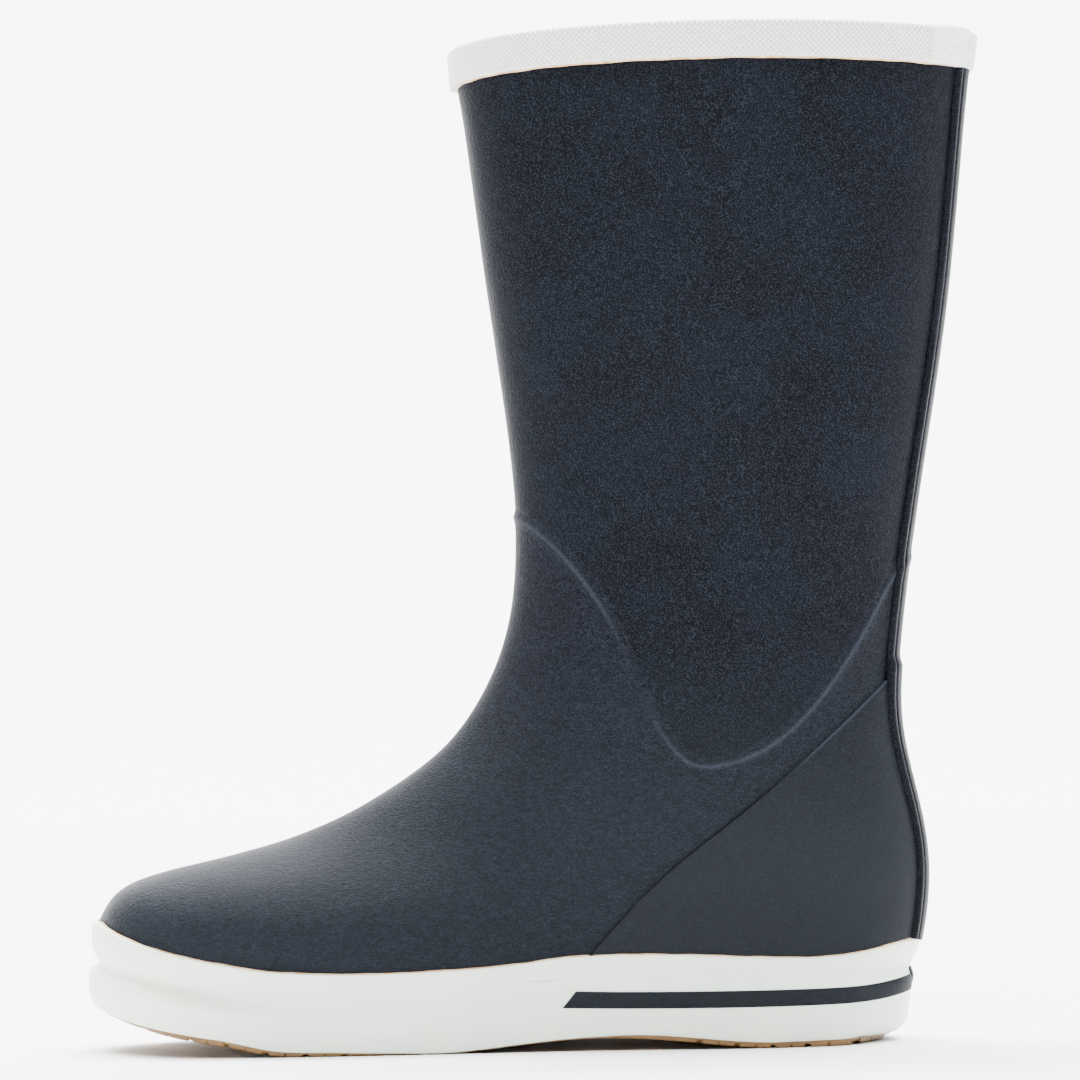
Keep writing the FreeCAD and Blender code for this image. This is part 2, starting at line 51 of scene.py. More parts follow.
# front or top line (x, z), back or sole line (x, z), half width, squareness at the front,
# squareness at the back, shift of the fullness towards the back line
STATIONS = [
    (-26.8, 343.0, 152.8, 347.5, 43.5, 0.020, 0.000, 0.00),
    (-22.6, 318.0, 149.1, 318.0, 43.3, 0.020, 0.000, 0.00),
    (-18.2, 283.0, 145.4, 283.0, 42.6, 0.020, 0.000, 0.00),
    (-13.4, 246.0, 140.8, 245.0, 41.4, 0.015, 0.000, 0.00),
    (-8.8, 211.0, 134.9, 208.0, 39.8, 0.010, 0.000, 0.02),
    (-6.2, 180.0, 129.0, 173.0, 38.2, 0.005, 0.000, 0.03),
    (-7.6, 151.0, 124.2, 140.0, 37.2, 0.000, 0.000, 0.04),
    (-15.0, 126.5, 122.7, 109.0, 37.0, 0.000, 0.000, 0.06),
    (-27.5, 106.5, 128.0, 82.0, 37.4, 0.005, 0.005, 0.08),
    (-41.0, 94.2, 131.2, 58.0, 37.8, 0.015, 0.010, 0.10),
    (-54.0, 85.6, 128.2, 34.0, 38.6, 0.025, 0.015, 0.12),
    (-65.5, 79.3, 117.5, 15.5, 40.0, 0.030, 0.045, 0.14),
    (-76.0, 74.8, 88.0, 10.0, 41.5, 0.030, 0.075, 0.15),
    (-86.0, 71.2, 42.0, 9.5, 43.5, 0.030, 0.085, 0.16),
    (-95.5, 68.4, -8.0, 9.0, 46.0, 0.030, 0.085, 0.16),
    (-105.5, 65.8, -50.0, 9.0, 48.0, 0.030, 0.080, 0.15),
    (-116.5, 63.2, -85.0, 10.0, 47.5, 0.030, 0.070, 0.13),
    (-128.0, 60.6, -112.0, 12.5, 43.0, 0.025, 0.055, 0.10),
    (-138.5, 57.4, -132.0, 17.5, 34.5, 0.020, 0.040, 0.07),
    (-146.0, 52.4, -144.5, 25.0, 22.5, 0.010, 0.020, 0.04),
    (-150.6, 45.0, -150.4, 34.0, 9.0, 0.000, 0.000, 0.00),
]
TOE_STATION = len(STATIONS) - 1
COLLAR_SPAN = (-0.7, 3.0)      # stations between which the collar and the ankle line lie
ANKLE_SPAN = (0.0, 12.0)

RIDGE = [
    (-40.0, 205.0), (-7.0, 181.5), (11.0, 164.8), (25.8, 142.6), (35.6, 118.4), (47.1, 98.9),
    (60.5, 94.4), (80.9, 102.4), (101.6, 124.0), (117.8, 150.6), (130.0, 168.0), (160.0, 200.0),
]
COUNTER_EDGE = [
    (0.0, 12.0), (18.1, 33.5), (41.7, 57.7), (65.2, 76.2), (101.4, 106.3), (130.0, 134.0),
    (160.0, 163.0),
]
FOXING_EDGE = [
    (-175.0, 47.5), (-149.0, 44.5), (-121.0, 37.6), (-97.0, 33.2), (-73.0, 30.0), (-35.0, 28.3),
    (8.0, 32.0), (55.0, 32.5), (88.0, 31.2), (120.0, 32.9), (136.0, 34.4), (160.0, 35.5),
]
BUMPER_EDGE = [
    (-175.0, 34.0), (-155.7, 30.0), (-122.0, 23.0), (-82.5, 16.0), (-48.0, 14.2), (-15.0, 16.5),
    (8.6, 20.0), (45.0, 25.0), (80.0, 26.0), (128.0, 26.6), (160.0, 27.5),
]
# height of gum that shows below the white band: least at the toe and the waist
GUM_SHOWING = [
    (-175.0, -2.4), (-150.0, -1.4), (-141.0, -0.7), (-133.0, 0.4), (-123.0, 1.5), (-105.0, 1.8),
    (-75.0, 1.4), (-50.0, 0.7), (-30.0, 0.35), (0.0, 0.35), (22.0, 0.7), (42.0, 1.5),
    (90.0, 2.0), (112.0, 1.8), (124.0, 0.9), (160.0, 0.6),
]
# upper edge of the white foxing as it is laid by hand
FOXING_TOP = [
    (-175.0, 45.5), (-155.0, 44.3), (-149.0, 42.6), (-136.0, 37.6), (-117.0, 33.0), (-98.0, 29.5),
    (-86.0, 28.0), (-66.0, 27.1), (-41.0, 27.3), (-10.0, 29.0), (8.0, 31.2), (30.0, 31.9),
    (55.0, 31.3), (88.0, 30.0), (110.0, 31.3), (124.0, 34.2), (136.0, 35.8), (160.0, 36.5),
]
STRIPE_LINE = [
    (-10.0, 17.8), (8.0, 17.4), (40.0, 16.8), (95.0, 16.9), (120.0, 18.4), (135.0, 21.2),
]
COLLAR_LINE = [(-60.0, 342.2), (190.0, 348.4)]
OUTLINE = [
    (128.9, 0.0), (122.8, -20.0), (111.3, -31.0), (96.0, -38.2), (60.0, -43.4), (20.0, -43.7),
    (-20.0, -46.8), (-55.0, -51.3), (-85.0, -53.3), (-115.0, -51.8), (-137.0, -42.4),
    (-150.5, -24.0), (-155.6, -3.6), (-150.5, 15.6), (-137.0, 32.0), (-110.0, 44.6),
    (-80.0, 51.2), (-50.0, 52.9), (-20.0, 51.7), (20.0, 48.6), (60.0, 44.4), (96.0, 38.2),
    (111.3, 31.0), (122.8, 20.0),
]

# ---- layers, as offsets from the form ------------------------------------------------------

RUBBER_INSIDE = -1.5
LINING_OUTSIDE = -1.75
LINING_INSIDE = -2.95
COUNTER_FACE = 1.65


# ---- mathematics ---------------------------------------------------------------------------


def spline(values, closed=False):
    """Cubic spline through rows of values at 0, 1, 2 ...: natural, or closed on itself."""
    values = np.asarray(values, float)
    count = len(values)
    system = np.eye(count)
    rise = np.zeros_like(values)
    for i in range(count):
        if closed or 0 < i < count - 1:
            after = (i + 1) % count
            system[i, i] = 4.0
            system[i, i - 1] = 1.0
            system[i, after] = 1.0
            rise[i] = 6.0 * (values[after] - 2.0 * values[i] + values[i - 1])
    bend = np.linalg.solve(system, rise)

    def at(u):
        u = np.asarray(u, float)
        i = np.floor(u).astype(int)
        i = i % count if closed else np.clip(i, 0, count - 2)
        after = (i + 1) % count
        b = (u % count - i if closed else u - i)[..., None]
        a = 1.0 - b
        curve = ((a ** 3 - a) * bend[i] + (b ** 3 - b) * bend[after]) / 6.0
        return a * values[i] + b * values[after] + curve

    return at


def line(points):
    """Side-view line through (x, z) points as a function of x."""
    dense = spline(points)(np.linspace(0.0, len(points) - 1.0, 600))
    return lambda x: np.interp(x, dense[:, 0], dense[:, 1])


def smooth_step(x, low, high):
    """0 below low, 1 above high, with level ends."""
    t = np.clip((np.asarray(x, float) - low) / (high - low), 0.0, 1.0)
    return t * t * t * (t * (6.0 * t - 15.0) + 10.0)


def bell(x, centre, width):
    """A smooth bump of height 1."""
    return np.exp(-((x - centre) / width) ** 2)


def unit(vectors):
    """Vectors brought to length 1."""
    return vectors / np.linalg.norm(vectors, axis=-1, keepdims=True)


def spread(start, stop, shares):
    """Rows from start to stop at the same shares of the way."""
    return start[:, None] + (stop - start)[:, None] * shares


def turns(count):
    """Even angles round a circle."""
    return np.arange(count) * TURN / count


STATION_AT = spline(STATIONS)
ridge = line(RIDGE)
counter_edge = line(COUNTER_EDGE)
foxing_edge = line(FOXING_EDGE)
bumper_edge = line(BUMPER_EDGE)
gum_showing = line(GUM_SHOWING)
foxing_top = line(FOXING_TOP)
collar_line = line(COLLAR_LINE)


def form_point(u, angle):
    """Point of the form: angle 0 on the front or top line, pi on the back or sole line."""
    u, angle = np.broadcast_arrays(np.asarray(u, float), np.asarray(angle, float))
    row = np.moveaxis(STATION_AT(u), -1, 0)
    front_x, front_z, back_x, back_z, width, square_front, square_back, shift = row
    q = square_front + (square_back - square_front) * (1.0 - np.cos(angle)) / 2.0
    c = -(np.cos(angle) - q * np.cos(3.0 * angle)) / (1.0 - q)
    s = (np.sin(angle) + q * np.sin(3.0 * angle)) / (1.0 - q)
    c = c + shift * (1.0 - c * c)
    t = (1.0 + c) / 2.0
    x = front_x + (back_x - front_x) * t
    y = width * s
    z = front_z + (back_z - front_z) * t
    return np.stack([x, y + sideways(x, y, z), z], axis=-1)


def sideways(x, y, z):
    """The two sides of a foot differ: arch and ball inside, little toe outside."""
    low = 1.0 - smooth_step(z, 30.0, 115.0)
    outer = 3.5 * bell(x, 5, 45) + 2.5 * bell(x, -42, 30) - 4.5 * bell(x, -125, 30)
    inner = 2.5 * bell(x, 12, 38) - 1.5 * bell(x, -68, 28) - 1.0 * bell(x, -115, 30)
    side = low * (y / 45.0) ** 2
    return side * np.where(y > 0.0, outer, inner) - 4.0 * low * smooth_step(-x, 50.0, 165.0)


def form_normal(u, angle):
    """Outward unit normal of the form."""
    step = 1e-3
    u, angle = np.broadcast_arrays(np.asarray(u, float), np.asarray(angle, float))
    v = np.minimum(u, TOE_STATION - step)
    along = form_point(v + step, angle) - form_point(v - step, angle)
    around = form_point(v, angle + step) - form_point(v, angle - step)
    return unit(np.cross(around, along))


def undulation(p):
    """Slight unevenness of hand-laid rubber, in millimetres."""
    x, y, z = np.moveaxis(p, -1, 0)
    wide = np.sin(x / 17.0 + y / 29.0 + 0.7) * np.sin(z / 23.0 - y / 41.0 + 1.9)
    fine = np.sin(x / 9.0 - z / 13.0 + 2.1) * np.sin(z / 11.0 + y / 8.0)
    return 0.16 * wide + 0.05 * fine


def surface(u, angle, offset):
    """Point of a layer of the upper."""
    p = form_point(u, angle)
    lift = np.asarray(offset, float) + undulation(p)
    return p + form_normal(u, angle) * lift[..., None]


def u_on(angle, edge, rise, low, high):
    """Where each angle's line along the boot first drops below a side-view edge moved by rise."""
    angle = np.atleast_1d(np.asarray(angle, float))
    trial = np.linspace(low, high, int((high - low) * 70.0))
    p = form_point(trial[:, None], angle[None, :])
    gap = p[..., 2] - edge(p[..., 0]) - rise
    under = gap <= 0.0
    first = np.where(under.any(axis=0), under.argmax(axis=0), len(trial) - 1)
    first = np.maximum(first, 1)
    column = np.arange(len(angle))
    before = gap[first - 1, column]
    after = gap[first, column]
    share = np.clip(before / np.maximum(before - after, 1e-9), 0.0, 1.0)
    return trial[first - 1] + share * (trial[first] - trial[first - 1])


def on_collar(angle, rise):
    """Where each column crosses the collar line moved by rise."""
    return u_on(angle, collar_line, rise, *COLLAR_SPAN)


def on_ankle(angle, rise):
    """Where each column crosses the ankle line moved by rise."""
    return u_on(angle, ridge, rise, *ANKLE_SPAN)


def floor_height(x):
    """Underside of the tread without the arch: flat, then the toe spring."""
    return 0.0024 * np.maximum(-80.0 - x, 0.0) ** 2


def gum_bottom(x):
    """Underside of the tread: raised waist, and a little more spring at the toe and heel."""
    reach = np.minimum(np.abs(x - 22.0) / 58.0, 1.0)
    arch = 4.2 * (1.0 - reach * reach) ** 2
    spring = 2.4 * smooth_step(-x, 80.0, 112.0) + 1.3 * smooth_step(x, 100.0, 126.0)
    return floor_height(x) + arch + spring


def white_bottom(x):
    """Lower edge of the white band."""
    return gum_bottom(x) + gum_showing(x)


# ---- meshes --------------------------------------------------------------------------------


def to_frame(points):
    """Own axes in millimetres to the frame in metres."""
    return (np.asarray(points, float) + SHIFT) * MM


def solid(name, sections, closed, look, nodes, lengths=None, painted_light=None):
    """Piece of the boot through sections, each a loop; it closes on itself or is capped.

    lengths holds a texture place for each point, with one more row and column for the wraps.
    The last argument says where a highlight is painted on the rubber, paler from 0 to 1, and where
    a shadow is painted, darker from 0 to -1.
    """
    sections = np.asarray(sections, float)
    count, size = sections.shape[:2]
    i, k = np.meshgrid(np.arange(count if closed else count - 1), np.arange(size), indexing="ij")
    i = i.ravel()
    k = k.ravel()
    rows = np.stack([i, i, i + 1, i + 1], axis=1)
    columns = np.stack([k, k + 1, k + 1, k], axis=1)
    quads = rows % count * size + columns % size
    points = sections.reshape(-1, 3)
    caps = []
    if not closed:
        caps = [np.arange(size)[::-1], (count - 1) * size + np.arange(size)]
    if volume(points, quads, caps) < 0.0:
        quads = quads[:, ::-1]
        rows = rows[:, ::-1]
        columns = columns[:, ::-1]
        caps = [cap[::-1] for cap in caps]
    places = None
    if lengths is not None:
        lengths = np.asarray(lengths, float) * MM
        places = [lengths[rows, columns].reshape(-1, 2)]
        places += [lengths.reshape(-1, 2)[np.zeros(len(cap), int)] for cap in caps]
        places = np.concatenate(places)
    faces = quads.tolist() + [cap.tolist() for cap in caps]
    piece = new_object(name, points, faces, look, "boot", nodes, places)
    if painted_light is not None:
        layer = piece.data.attributes.new("painted_light", "FLOAT", "POINT")
        layer.data.foreach_set("value", np.asarray(painted_light, float).ravel())
    return piece


def volume(points, quads, caps):
    """Signed volume inside quads and caps."""
    a, b, c, d = points[quads.T]
    total = np.einsum("ij,ij->", a, np.cross(b, c)) + np.einsum("ij,ij->", a, np.cross(c, d))
    for cap in caps:
        a = points[cap[:1]]
        b = points[cap[1:-1]]
        c = points[cap[2:]]
        total += np.einsum("ij,ij->", np.broadcast_to(a, b.shape), np.cross(b, c))
    return total


def new_object(name, points, faces, look, body, nodes, places=None):
    """A smooth mesh object that rides on a body and stands for CAD nodes."""
    mesh = bpy.data.meshes.new(name)
    mesh.from_pydata(to_frame(points).tolist(), [], faces)
    mesh.polygons.foreach_set("use_smooth", [True] * len(mesh.polygons))
    if places is not None:
        layer = mesh.uv_layers.new(name="length")
        layer.data.foreach_set("uv", places.ravel())
    mesh.materials.append(look)
    mesh.update()
    piece = bpy.data.objects.new(name, mesh)
    bpy.context.scene.collection.objects.link(piece)
    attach(piece, body)
    if nodes:
        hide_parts(*nodes)
    return piece


def ring_faces(rows, count, capped):
    """Quads between rings of count points, and a face on the first and the last ring."""
    faces = []
    for i in range(rows - 1):
        for k in range(count):
            n = (k + 1) % count
            faces.append((i * count + k, i * count + n, (i + 1) * count + n, (i + 1) * count + k))
    if capped:
        faces.append(tuple(range(count))[::-1])
        faces.append(tuple((rows - 1) * count + k for k in range(count)))
    return faces


def run_length(points):
    """Distance run along the first axis of an array of points."""
    steps = np.linalg.norm(np.diff(points, axis=0), axis=-1)
    zero = np.zeros((1,) + steps.shape[1:])
    return np.concatenate([zero, np.cumsum(steps, axis=0)], axis=0)


def eased(knots, x, ease=0.35):
    """Value at x of a line through (x, value) knots whose corners are eased."""
    knots = np.asarray(knots, float)
    total = 0.0
    for shift, weight in ((-1.0, 0.25), (0.0, 0.5), (1.0, 0.25)):
        total = total + weight * np.interp(x + shift * ease, knots[:, 0], knots[:, 1])
    return total


# ---- looks ---------------------------------------------------------------------------------


class Graph:
    """The shader nodes of a material or of the world."""

    def __init__(self, owner, shader):
        owner.use_nodes = True
        self.nodes = owner.node_tree.nodes
        self.links = owner.node_tree.links
        self.shader = self.nodes[shader]

    def set(self, name, value):
        """Feeds an input of the shader."""
        self.link(value, self.shader.inputs[name])

    def link(self, value, socket):
        """Feeds a socket from a number, a colour or another socket."""
        if isinstance(value, bpy.types.NodeSocket):
            self.links.new(value, socket)
        else:
            socket.default_value = value

    def node(self, kind, inputs, output=0, **settings):
        """Output of a new node with settings, and with inputs fed by their name or number."""
        node = self.nodes.new("ShaderNode" + kind)
        for key, value in settings.items():
            setattr(node, key, value)
        for key, value in inputs.items():
            self.link(value, node.inputs[key])
        return node.outputs[output]

    def math(self, operation, a, b=0.0):
        """Arithmetic on two values."""
        return self.node("Math", {0: a, 1: b}, operation=operation)

    def axes(self, place):
        """The three parts of a place."""
        return list(self.node("SeparateXYZ", {0: place}).node.outputs)

    def ranged(self, value, low, high, to_low, to_high):
        """Smoothly remaps a value."""
        inputs = {"Value": value, "From Min": low, "From Max": high}
        inputs.update({"To Min": to_low, "To Max": to_high})
        return self.node("MapRange", inputs, "Result", interpolation_type="SMOOTHSTEP")


class Look(Graph):
    """A material that is built from nodes in the boot's own coordinates, in metres."""

    def __init__(self, name, roughness):
        self.material = bpy.data.materials.new(name)
        super().__init__(self.material, "Principled BSDF")
        self.set("Roughness", roughness)
        self.place = self.node("TexCoord", {}, "Object")
        self.bumped = None

    def stretched(self, x, y, z, turn=(0.0, 0.0, 0.0)):
        """The place, turned and then scaled along each axis."""
        inputs = {"Vector": self.place, "Rotation": turn, "Scale": (x, y, z)}
        return self.node("Mapping", inputs, vector_type="POINT")

    def noise(self, scale, detail=2.0, place=None, distortion=0.0):
        """Soft random pattern from 0 to 1, with scale features to a metre."""
        inputs = {"Vector": place or self.place, "Scale": scale, "Detail": detail}
        return self.node("TexNoise", {**inputs, "Distortion": distortion})

    def cells(self, scale, feature, place=None, random=1.0):
        """Distance from cell centres."""
        inputs = {"Vector": place or self.place, "Scale": scale, "Randomness": random}
        return self.node("TexVoronoi", inputs, "Distance", feature=feature)

    def mixed(self, share, first, second):
        """Mix of two colours."""
        return self.node("Mix", {"Factor": share, 6: first, 7: second}, 2, data_type="RGBA")

    def blended(self, pattern, first, second):
        """Mix of two colours by a random pattern."""
        return self.mixed(self.ranged(pattern, 0.3, 0.7, 0.0, 1.0), first, second)

    def bump(self, height, depth, strength):
        """Adds relief that is depth metres high."""
        inputs = {"Strength": strength, "Distance": depth, "Height": height}
        if self.bumped is not None:
            inputs["Normal"] = self.bumped
        self.bumped = self.node("Bump", inputs, "Normal")

    def done(self, colour, roughness=None):
        """Connects colour, roughness and relief, and returns the material."""
        self.set("Base Color", colour)
        if roughness is not None:
            self.set("Roughness", roughness)
        if self.bumped is not None:
            self.set("Normal", self.bumped)
        return self.material


def shade(red, green, blue):
    """Linear colour from display values of 0 to 255."""
    value = np.array([red, green, blue]) / 255.0
    linear = np.where(value <= 0.04045, value / 12.92, ((value + 0.055) / 1.055) ** 2.4)
    return tuple(linear.tolist()) + (1.0,)


def navy_look(name, wrinkle, pebble, painted_sheen):
    """Matt navy rubber with a pebble grain, and on the foot a fine wavy wrinkle.

    The last argument is the colour of a painted sheen that it fades to near the ground, standing in
    for the top light on the foot's upward faces.
    """
    look = Look(name, 0.45)
    look.set("Specular IOR Level", 0.5)
    look.set("IOR", 1.08)
    patches = look.noise(28.0, 3.0)
    specks = look.noise(1900.0, 1.0)
    base = look.blended(patches, NAVY_DARK, NAVY_LIGHT)
    height = look.axes(look.place)[2]
    # painted sheen: the colour grows lighter towards the ground, standing in for the top light on
    # the toe and instep
    base = look.mixed(look.ranged(height, 0.055, 0.15, 0.85, 0.0), base, painted_sheen)
    colour = look.mixed(look.ranged(specks, 0.45, 0.68, 0.0, 0.85), base, NAVY_WORN)
    if wrinkle:
        waves = look.stretched(540.0, 780.0, 1400.0, (0.2, 0.5, 0.0))
        crests = look.noise(1.0, 2.0, waves, 1.5)
        # painted highlight: the wrinkle crests are made paler, standing in for the light that
        # catches them
        painted_crest_highlight = look.ranged(crests, 0.42, 0.66, 0.0, 0.12 * wrinkle)
        colour = look.mixed(painted_crest_highlight, colour, NAVY_PAINTED_HIGHLIGHT)
    # painted highlight where the per-point light values are above 0, painted shadow where they are
    # below 0
    painted_light = look.node("Attribute", {}, "Fac", attribute_name="painted_light")
    colour = look.mixed(painted_light, colour, NAVY_PAINTED_HIGHLIGHT)
    colour = look.mixed(look.math("MULTIPLY", painted_light, -1.0), colour, NAVY_SHADOW)
    look.bump(look.noise(55.0, 2.0), 0.0005, 0.5)
    if wrinkle:
        look.bump(crests, 0.0005, wrinkle)
    look.bump(look.cells(950.0, "SMOOTH_F1"), 0.0003, pebble)
    look.bump(look.noise(2400.0, 1.0), 0.00006, 0.6)
    return look.done(colour, look.ranged(patches, 0.25, 0.75, 0.38, 0.48))


def white_look(name, grain):
    """Moulded white rubber."""
    look = Look(name, 0.45)
    patches = look.noise(35.0, 3.0)
    colour = look.blended(patches, WHITE_COOL, WHITE_WARM)
    look.bump(look.noise(60.0, 2.0), 0.0004, 0.4)
    look.bump(look.noise(1100.0, 2.0), 0.00008, grain)
    return look.done(colour, look.ranged(patches, 0.3, 0.7, 0.40, 0.50))


def binding_look(name, ribbed):
    """White rubberised tape, embossed with a fine diamond weave or with level ribs."""
    look = Look(name, 0.5)
    around, down, _ = look.axes(look.node("UVMap", {}, uv_map="length"))
    if ribbed:
        height = look.math("ABSOLUTE", look.math("SINE", look.math("MULTIPLY", down, RIB_TURNS)))
    else:
        one = look.math("MULTIPLY", look.math("ADD", around, down), WEAVE_TURNS)
        other = look.math("MULTIPLY", look.math("SUBTRACT", around, down), WEAVE_TURNS)
        height = look.math("MULTIPLY", look.math("SINE", one), look.math("SINE", other))
        height = look.math("ABSOLUTE", height)
    look.bump(look.noise(60.0, 2.0), 0.0004, 0.4)
    look.bump(height, 0.0003 if ribbed else 0.0006, 1.0)
    look.bump(look.noise(1600.0, 1.0), 0.00005, 0.6)
    # painted shade: the hollows of the weave or ribs are darker, the raised parts lighter
    colour = look.mixed(look.ranged(height, 0.0, 0.5, 0.0, 1.0), BINDING_PAINTED_SHADE, BINDING_HIGH)
    return look.done(colour)


def gum_look(name):
    """Translucent amber gum rubber."""
    look = Look(name, 0.42)
    patches = look.noise(40.0, 3.0)
    colour = look.blended(patches, GUM_DARK, GUM_LIGHT)
    look.bump(look.noise(420.0, 2.0), 0.00012, 0.6)
    look.set("Subsurface Weight", 0.15)
    look.set("Subsurface Radius", (0.002, 0.001, 0.0004))
    return look.done(colour)


def knit_look(name, light, dark, pitch):
    """Knitted cloth: columns of stitches, pitch metres wide."""
    look = Look(name, 0.9)
    stitch = look.stretched(1.0 / pitch, 1.0 / pitch, 0.7 / pitch)
    loops = look.cells(1.0, "F1", stitch, 0.25)
    fuzz = look.noise(900.0, 3.0)
    colour = look.mixed(look.ranged(loops, 0.1, 0.6, 0.0, 1.0), light, dark)
    colour = look.mixed(look.ranged(fuzz, 0.4, 0.8, 0.0, 0.3), colour, dark)
    look.bump(loops, 0.0005, 0.8)
    look.bump(fuzz, 0.0002, 0.5)
    look.set("Sheen Weight", 0.25)
    return look.done(colour)


def plain_look(name, light, dark, scale, depth, roughness, metal=0.0):
    """Board, filler, foam or steel with a fine random grain."""
    look = Look(name, roughness)
    grain = look.noise(scale, 4.0)
    colour = look.blended(grain, light, dark)
    look.bump(grain, depth, 0.7)
    look.set("Metallic", metal)
    return look.done(colour)


def canvas_look(name, light, dark, threads):
    """Plain-woven canvas with its threads along x and z."""
    look = Look(name, 0.9)
    x, _, z = look.axes(look.place)
    warp = look.math("SINE", look.math("MULTIPLY", x, threads))
    weft = look.math("SINE", look.math("MULTIPLY", z, threads))
    height = look.math("MULTIPLY", warp, weft)
    colour = look.mixed(look.ranged(height, -0.6, 0.6, 0.0, 1.0), dark, light)
    look.bump(height, 0.0003, 0.6)
    look.bump(look.noise(700.0, 3.0), 0.0001, 0.5)
    return look.done(colour)


WEAVE_TURNS = math.pi / 0.0019
RIB_TURNS = math.pi / 0.0009
NAVY_DARK = shade(11, 12, 15)
NAVY_LIGHT = shade(14, 16, 21)
NAVY_WORN = shade(33, 36, 43)
# colours of the painted sheen near the ground: the first for the foot and leg, the second, greyer,
# for the counter and the stripe
NAVY_PAINTED_SHEEN = shade(25, 28, 32)
NAVY_PAINTED_GREY_SHEEN = shade(30, 33, 35)
# colour of painted highlights on edges, ridges and wrinkle crests; the next is the colour of
# painted shadows
NAVY_PAINTED_HIGHLIGHT = shade(70, 75, 88)
NAVY_SHADOW = shade(3, 3, 5)
WHITE_COOL = shade(222, 234, 221)
WHITE_WARM = shade(231, 240, 226)
BINDING_PAINTED_SHADE = shade(205, 208, 206)
BINDING_HIGH = shade(249, 251, 245)
GUM_DARK = shade(100, 68, 26)
GUM_LIGHT = shade(126, 89, 38)

navy_leg = navy_look("navy_rubber_leg", 0.0, 0.6, NAVY_PAINTED_SHEEN)
navy_vamp = navy_look("navy_rubber_foot", 0.85, 0.5, NAVY_PAINTED_SHEEN)
navy_overlay = navy_look("navy_rubber_overlay", 0.3, 0.5, NAVY_PAINTED_GREY_SHEEN)
# the strip fades to its plain dark tone near the ground, not to a painted sheen, so it grows a
# little darker towards the bottom
navy_strip = navy_look("navy_rubber_strip", 0.0, 0.3, NAVY_DARK)
navy_stripe = navy_look("navy_stripe", 0.0, 0.2, NAVY_PAINTED_GREY_SHEEN)
white_upper = white_look("white_foxing", 0.5)
white_bumper = white_look("white_bumper", 0.35)
weave = binding_look("white_binding_weave", False)
ribbed = binding_look("white_binding_ribbed", True)
gum = gum_look("gum_rubber")
cement = plain_look("cement", shade(222, 196, 150), shade(190, 140, 84), 300.0, 0.0001, 0.4)
knit = knit_look("grey_knit", shade(176, 178, 180), shade(126, 128, 132), 0.0012)
foot_knit = knit_look("foot_knit", shade(170, 172, 174), shade(120, 122, 126), 0.0012)
tape_look = canvas_look("lining_tape", shade(196, 198, 200), shade(150, 152, 156), TURN / 0.0012)
canvas = canvas_look("canvas_backing", shade(190, 184, 166), shade(150, 144, 128), TURN / 0.0014)
board = plain_look("fibre_board", shade(172, 146, 112), shade(140, 114, 84), 240.0, 0.0003, 0.85)
filler = plain_look("dark_filler", shade(66, 66, 70), shade(46, 46, 50), 320.0, 0.0003, 0.8)
steel = plain_look("spring_steel", shade(150, 152, 156), shade(128, 130, 134), 400.0, 0.00003,
                   0.3, 1.0)
foam_look = plain_look("footbed_foam", shade(198, 198, 196), shade(170, 170, 168), 1500.0,
                       0.0003, 0.9)
textile = knit_look("footbed_textile", shade(52, 58, 78), shade(30, 34, 48), 0.0010)


# ---- upper ---------------------------------------------------------------------------------

SHEET_ANGLES = turns(320)
# rise over the edge of the ankle ply at distances below it, where it is crisp and where it fades
CREST = [
    (-9.0, -0.12), (-4.5, -0.03), (-2.8, 0.02), (-1.5, 0.22), (-0.4, 0.72), (0.4, 0.82),
    (1.4, 0.6), (2.8, 0.36), (6.0, 0.3), (60.0, 0.22), (300.0, 0.12),
]
SOFT_CREST = [
    (-9.0, -0.12), (-5.0, -0.02), (-2.5, 0.08), (0.0, 0.34), (3.0, 0.36), (9.0, 0.3),
    (60.0, 0.22), (300.0, 0.12),
]
# thickness of the counter at distances from its edge, and of the strip from its middle line
COUNTER_PROFILE = [
    (0.0, 0.95), (0.15, 1.12), (0.5, 1.26), (1.2, 1.34), (2.5, 1.42), (5.0, 1.52), (10.0, 1.62),
    (400.0, 1.65),
]
STRIP_PROFILE = [
    (0.0, 1.90), (9.0, 1.74), (9.5, 1.30), (9.9, 1.24), (10.25, 1.72), (11.0, 2.02),
    (11.8, 2.1), (12.5, 1.9), (12.85, 1.3), (13.0, 0.6), (13.4, 0.2),
]
BINDING_HEIGHT = 14.2          # the tape folded over the collar
LAP_FRONT = 134.0              # x of the two ends of its lap
LAP_BACK = 147.5
LAP_RISE = 0.9
COLLAR_ARCH = 1.8              # how far the collar line bows up, and leans up to the front
COLLAR_LEAN = 1.6
TOP_LOWERED = 1.5
TAPE_HALF = 9.0                # half width of the tape over the lining's seam


def nearest_gap(points, curve):
    """Distance of each point from a closed curve of points."""
    tree = KDTree(len(curve))
    for index, point in enumerate(curve):
        tree.insert(point, index)
    tree.balance()
    flat = points.reshape(-1, 3)
    gaps = np.array([tree.find(point)[2] for point in flat.tolist()])
    return gaps.reshape(points.shape[:-1])


def ridge_curve():
    """The ankle line on the form."""
    angle = turns(4000)
    return form_point(on_ankle(angle, 0.0), angle)


RIDGE_CURVE = ridge_curve()


def ridge_gap(points):
    """Distance below the ankle line, less than 0 above it."""
    below = ridge(points[..., 0]) > points[..., 2]
    return nearest_gap(points, RIDGE_CURVE) * np.where(below, 1.0, -1.0)


def ply_lift(points, gap):
    """How far the ply round the ankle lifts the rubber: a soft crest and a low terrace below."""
    crest = eased(CREST, gap)
    soft = eased(SOFT_CREST, gap)
    return crest + (soft - crest) * ridge_fade(points)


def ridge_fade(points):
    """Where the crest is least marked: half-way down its front slope."""
    return 0.85 * bell(points[..., 0], 34.0, 14.0) * bell(points[..., 2], 124.0, 20.0)


